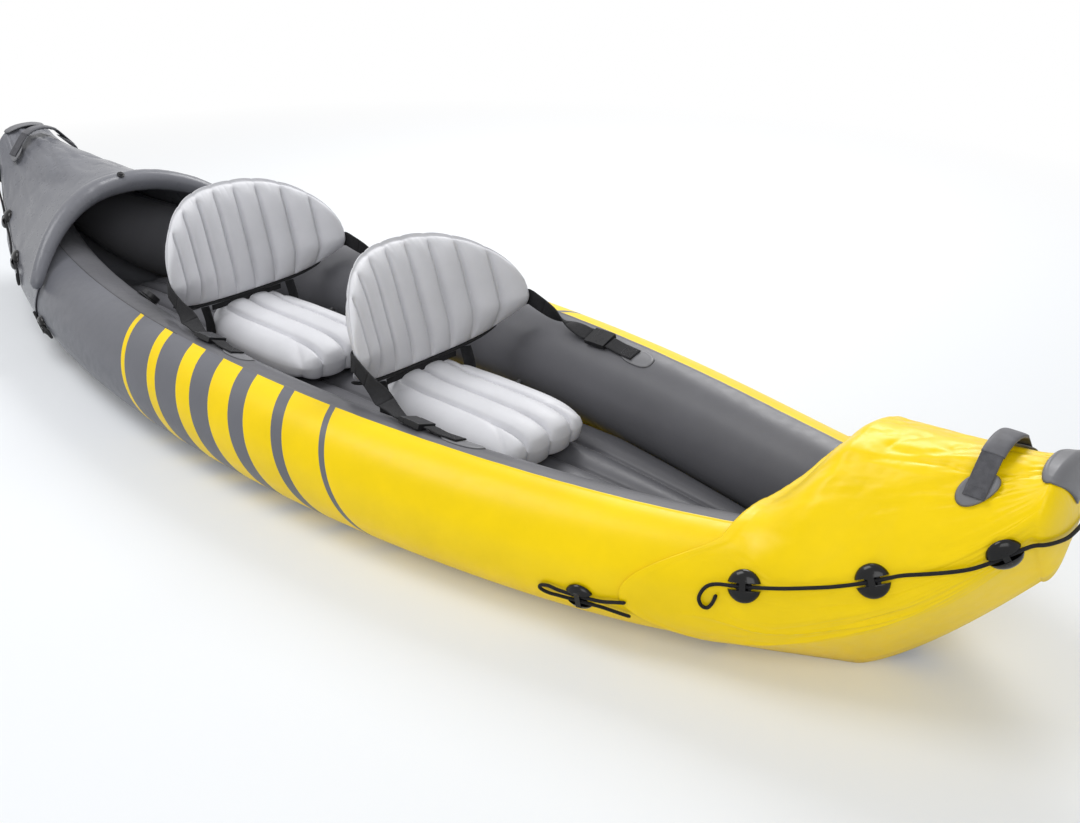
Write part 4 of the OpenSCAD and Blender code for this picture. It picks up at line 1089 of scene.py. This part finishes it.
for seat, hinge_x, lean, half, wrap in (("front", 0.16, 18, 0.25, 0.12), ("rear", -0.482, 14, 0.256, 0.108)):
    base = seat + "_seat"
    back = seat + "_back"
    lean_c, lean_s = math.cos(math.radians(lean)), math.sin(math.radians(lean))
    seed = hinge_x * 10

    def leaned(x, y, z):
        return Vector((hinge_x + x * lean_c - z * lean_s, y, hinge_z + x * lean_s + z * lean_c))

    def crown(u, v):
        return math.sqrt(max(0.0, (1 - abs(u) ** (16 if u < 0 else 5))) ** 0.8 * max(0.0, 1 - abs(v) ** 3))

    def pad_plan(u, v):
        q = disc_uv(u, v, 3.4 if u < 0 else 5)
        scallop = 0.015 * (lobe(q[1], cushion_lobes) - 0.7) * smooth((u - 0.4) / 0.5)
        return hinge_x - cushion_back + cushion_l / 2 * (1 + q[0]) + scallop, q[1]

    def pad_top(u, v):
        x, w = pad_plan(u, v)
        swell = mix(1, 0.74 + 0.26 * lobe(w, cushion_lobes), smooth((u + 0.98) / 0.26))
        swell *= 1 + 0.13 * smooth((-0.4 - u) / 0.35)
        pinch = weld(w, cushion_lobes) * smooth((u + 0.95) / 0.15) * mix(0.5, 1.7, smooth((u - 0.5) / 0.35))
        rise = (cushion_h - seam_t) / 2 * crown(u, v) * swell * (1 - pinch)
        tug = pucker(w, cushion_lobes, u * 30, seed, mix(0.0006, 0.0024, smooth((u - 0.5) / 0.4)))
        return Vector((x, w * cushion_w / 2, seam_z + seam_t / 2 + rise + crown(u, v) * tug))

    def pad_under(u, v):
        x, w = pad_plan(u, v)
        drop = (cushion_h - seam_t) / 2 * crown(u, v) ** 0.6
        return Vector((x, w * cushion_w / 2, seam_z - seam_t / 2 - drop))

    pad = two_faced(seat + "_cushion_pad", pad_top, pad_under, spread(80), spread(160))
    fit(pad, base, seat_vinyl, "seat_fabric", seat + "_cushion")

    def back_top(v):
        arc = max(0.0, 1 - abs(v) ** 2.4) ** 0.62
        return back_h * (0.33 + 0.645 * arc + 0.034 * mix(0.75, 1, lobe(v, back_lobes)))

    def back_foot(v):
        return piping_r + gap + 0.014 * v * v + 0.036 * abs(v) ** 6

    def back_bow(v, h):
        return wrap * v * v * mix(0.35, 1, smooth(h / 0.08))

    def crest(f, v):
        air = min(1, f / 0.97)
        return (back_t - seam_t) / 2 * math.sqrt(max(0.0, (1 - (2 * air - 1) ** 4) * (1 - v ** 6)))

    def gather(f, v):
        return -0.0044 * abs(noise.noise(Vector((v * 34, 2.1, seed)))) * math.exp(-(((1 - f) / 0.13) ** 2))

    def back_face(f, v, way):
        h = mix(back_foot(v), back_top(v), f)
        below_rim = smooth((0.98 - f) / 0.13)
        swell = mix(0.9, 0.3 + 0.7 * lobe(v, back_lobes), below_rim)
        thick = seam_t / 2 + crest(f, v) * swell * (1 - below_rim * weld(v, back_lobes))
        tug = pucker(v, back_lobes, f * 16, seed + way, 0.0011) + gather(f, v)
        thick += min(1, crest(f, v) / 0.01) * tug
        return leaned(back_bow(v, h) + way * thick, half * v, h)

    def back_front(f, v):
        return back_face(f, v, 1)

    def back_rear(f, v):
        return back_face(f, v, -1)

    rows = [(1 - math.cos(math.pi * i / back_rows)) / 2 for i in range(back_rows + 1)]
    rest = two_faced(seat + "_back_pad", back_front, back_rear, rows, spread(162))
    fit(rest, back, seat_vinyl, "seat_fabric", seat + "_backrest")

    # Piping along the backrest's foot, and the fabric hinge that joins it to the cushion
    edging = []
    for i in range(61):
        k = piping_reach * (-1 + i / 30)
        edging.append(leaned(back_bow(k, 0), half * k, back_foot(k) - piping_r - 2 * gap))
    fit(cord_tube(seat + "_piping", edging, 2 * piping_r), back, webbing, "webbing", seat + "_hinge_piping")
    lo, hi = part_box(seat + "_hinge_band")
    drop = [Vector((hinge_x, 0, mix(hi[2], lo[2], i / 8))) for i in range(9)]
    band = ribbon(seat + "_hinge_cloth", drop, [Vector((0, 1, 0))] * 9, hinge_w, seam_t)
    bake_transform(band, base, back, start=drop[-1], end=drop[0])
    fit(band, base, webbing, "webbing", seat + "_hinge_band")

    # Back band: webbing sewn across the rear of the backrest, which carries on as the two side straps
    def band_depth(v):
        f = (strap_h + strap_w / 2 - back_foot(v)) / (back_top(v) - back_foot(v))
        return seam_t / 2 + crest(min(0.5, f), v) + 2 * gap

    def band_at(v, h, clear):
        return leaned(back_bow(v, h) - band_depth(v) - clear, half * v, h)

    def web_edges(v, clear):
        low, high = band_at(v, strap_h - strap_w / 2, clear), band_at(v, strap_h + strap_w / 2, clear)
        return (low + high) / 2, (high - low).normalized()

    sweep = [web_edges(back_reach * (-1 + i / 24), strap_t / 2) for i in range(49)]
    band = ribbon(seat + "_back_webbing", [s[0] for s in sweep], [s[1] for s in sweep], strap_w, strap_t)
    fit(band, back, webbing, "webbing", seat + "_back_band")
    sewn_line = [web_edges(back_reach * (-0.97 + 0.97 * i / 40), strap_t + 0.0001) for i in range(81)]
    sewn_rows = [[mid + edge * up for mid, up in sewn_line] for edge in (-sewn_off, sewn_off)]
    fit(stitch_row(seat + "_band_stitches", sewn_rows), back, thread, "webbing")

    # Ties: a short strap each side that holds the backrest's foot to the cushion's edge
    edge_u = 1 - 2 * (cushion_back + tie_w) / cushion_l
    tie_y = cushion_w / 2 * (1 - edge_u ** 3.4) ** (1 / 3.4) + 2 * gap + strap_t / 2
    tie_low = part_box(seat + "_tie_straps")[0][2]
    for side, hand in hands:
        tag = "%s_%s" % (seat, hand)
        k = tie_y / half
        top = leaned(back_bow(k, 0) - 0.004, side * tie_y, back_foot(k) - 2 * piping_r - 0.0025)
        low = Vector((hinge_x + tie_w / 2, side * tie_y, tie_low))
        turn = Vector((low.x, low.y, mix(tie_low, top.z, 0.62)))
        tie = curve_through([low, (low + turn) / 2, turn, top], 5)
        strip = ribbon(tag + "_tie", tie, [fore_aft] * len(tie), tie_w, strap_t)
        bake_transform(strip, base, back, start=turn, end=top)
        fit(strip, base, webbing, "webbing", seat + "_tie_straps")

        # Side strap from the backrest to its buckle, in three lengths that each cross one moving joint
        socket_x = hinge_x + socket_ahead
        over = 1.5 * strap_t + gap
        wing = [web_edges(mix(back_reach - wing_lap, 1, k / 8), over) for k in range(9)]
        last, before = web_edges(1, over)[0], web_edges(0.97, over)[0]
        stop = chamber_pt(socket_x - buckle_l / 2 - plug_tail - 3 * gap, anchor_a, buckle_lift)
        lead = stop - Vector((strap_lead, 0, 0))
        edge = last + wing_out * (last - before).normalized() - Vector((0, 0, wing_drop))
        sag = (edge + lead) / 2 - Vector((0, 0, strap_sag))
        lie = Vector((0, math.cos(math.radians(anchor_a)), -math.sin(math.radians(anchor_a))))
        free = curve_through([edge, sag, lead], 14)
        twist = [smooth(i / (len(free) - 1)) ** 1.6 for i in range(len(free))]
        places = on_side([w[0] for w in wing] + free + [stop], side)
        widths = on_side([w[1] for w in wing] + [mix(wing[-1][1], -lie, t) for t in twist] + [-lie], side)
        cuts = (0, *strap_cuts, len(places) - 1)
        buckle = tag + "_buckle"
        carriers = (back, base, "hull", buckle)
        for part in range(3):
            a, b = cuts[part], cuts[part + 1]
            strip = ribbon("%s_strap_%d" % (tag, part + 1), places, widths, strap_w, strap_t, a, b)
            begin = places[len(wing)] if part == 0 else places[a]
            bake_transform(strip, carriers[part], carriers[part + 1], start=begin, end=places[b])
            fit(strip, "hull", webbing, "webbing", seat + "_seat_straps")

        # Anchor: an oval of vinyl welded to the chamber, with a webbing tab that holds the buckle's socket
        anchor_x = hinge_x + anchor_ahead

        def anchor_pt(x, a, o):
            return on_side([chamber_pt(x, a, o)], side)[0]

        def anchor_at(u, v, o):
            p = disc_uv(u, v, 2.6)
            x = anchor_x + anchor_l / 2 * p[0]
            return anchor_pt(x, anchor_a + math.degrees(anchor_w / 2 * p[1] / chamber_rad(x)), gap + o)

        oval = welded_patch(tag + "_anchor", anchor_at, 30, anchor_t, 0.0006)
        fit(oval, "hull", patch_vinyl, "grey_patch", seat + "_strap_anchors")
        begin_x, end_x = socket_x + buckle_l / 2 + 0.0024, anchor_x - 0.005
        tab = []
        for i in range(17):
            t = i / 16
            rise = mix(buckle_lift, anchor_t + 3 * gap + strap_t / 2, smooth(2 * t))
            tab.append(anchor_pt(mix(begin_x, end_x, t), anchor_a, rise))
        lie = Vector((0, side * lie.y, lie.z))
        strip = ribbon(tag + "_anchor_tab", tab, [lie] * 17, tab_w, strap_t)
        fit(strip, "hull", webbing, "webbing", seat + "_strap_anchors")
        out = Vector((0, side * math.sin(math.radians(anchor_a)), math.cos(math.radians(anchor_a))))
        box = []
        for step, wide in ((15, -1), (15, 1), (9, -1), (9, 1), (15, 1), (15, -1), (9, 1), (9, -1), (15, -1)):
            box.append(tab[step] + 0.0125 * wide * lie + (strap_t / 2 + 0.0001) * out)
        fit(stitch_row(tag + "_anchor_stitches", [box]), "hull", thread, "webbing")
        softened(buckle + "_plug", tag + "_plug", 0.0006, buckle, buckle_plastic, "buckle_plastic")
    softened(seat + "_sockets", seat + "_buckle_sockets", 0.0008, "hull", buckle_plastic, "buckle_plastic")
    softened(seat + "_back_air_valve", seat + "_back_valve", 0.0005, back, valve_plastic, "valve_plastic")
    softened(seat + "_pad_air_valve", seat + "_cushion_valve", 0.0005, base, valve_plastic, "valve_plastic")

size = {"cad": [list(cad_box[0]), list(cad_box[1])], "visual": [list(v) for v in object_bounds()]}
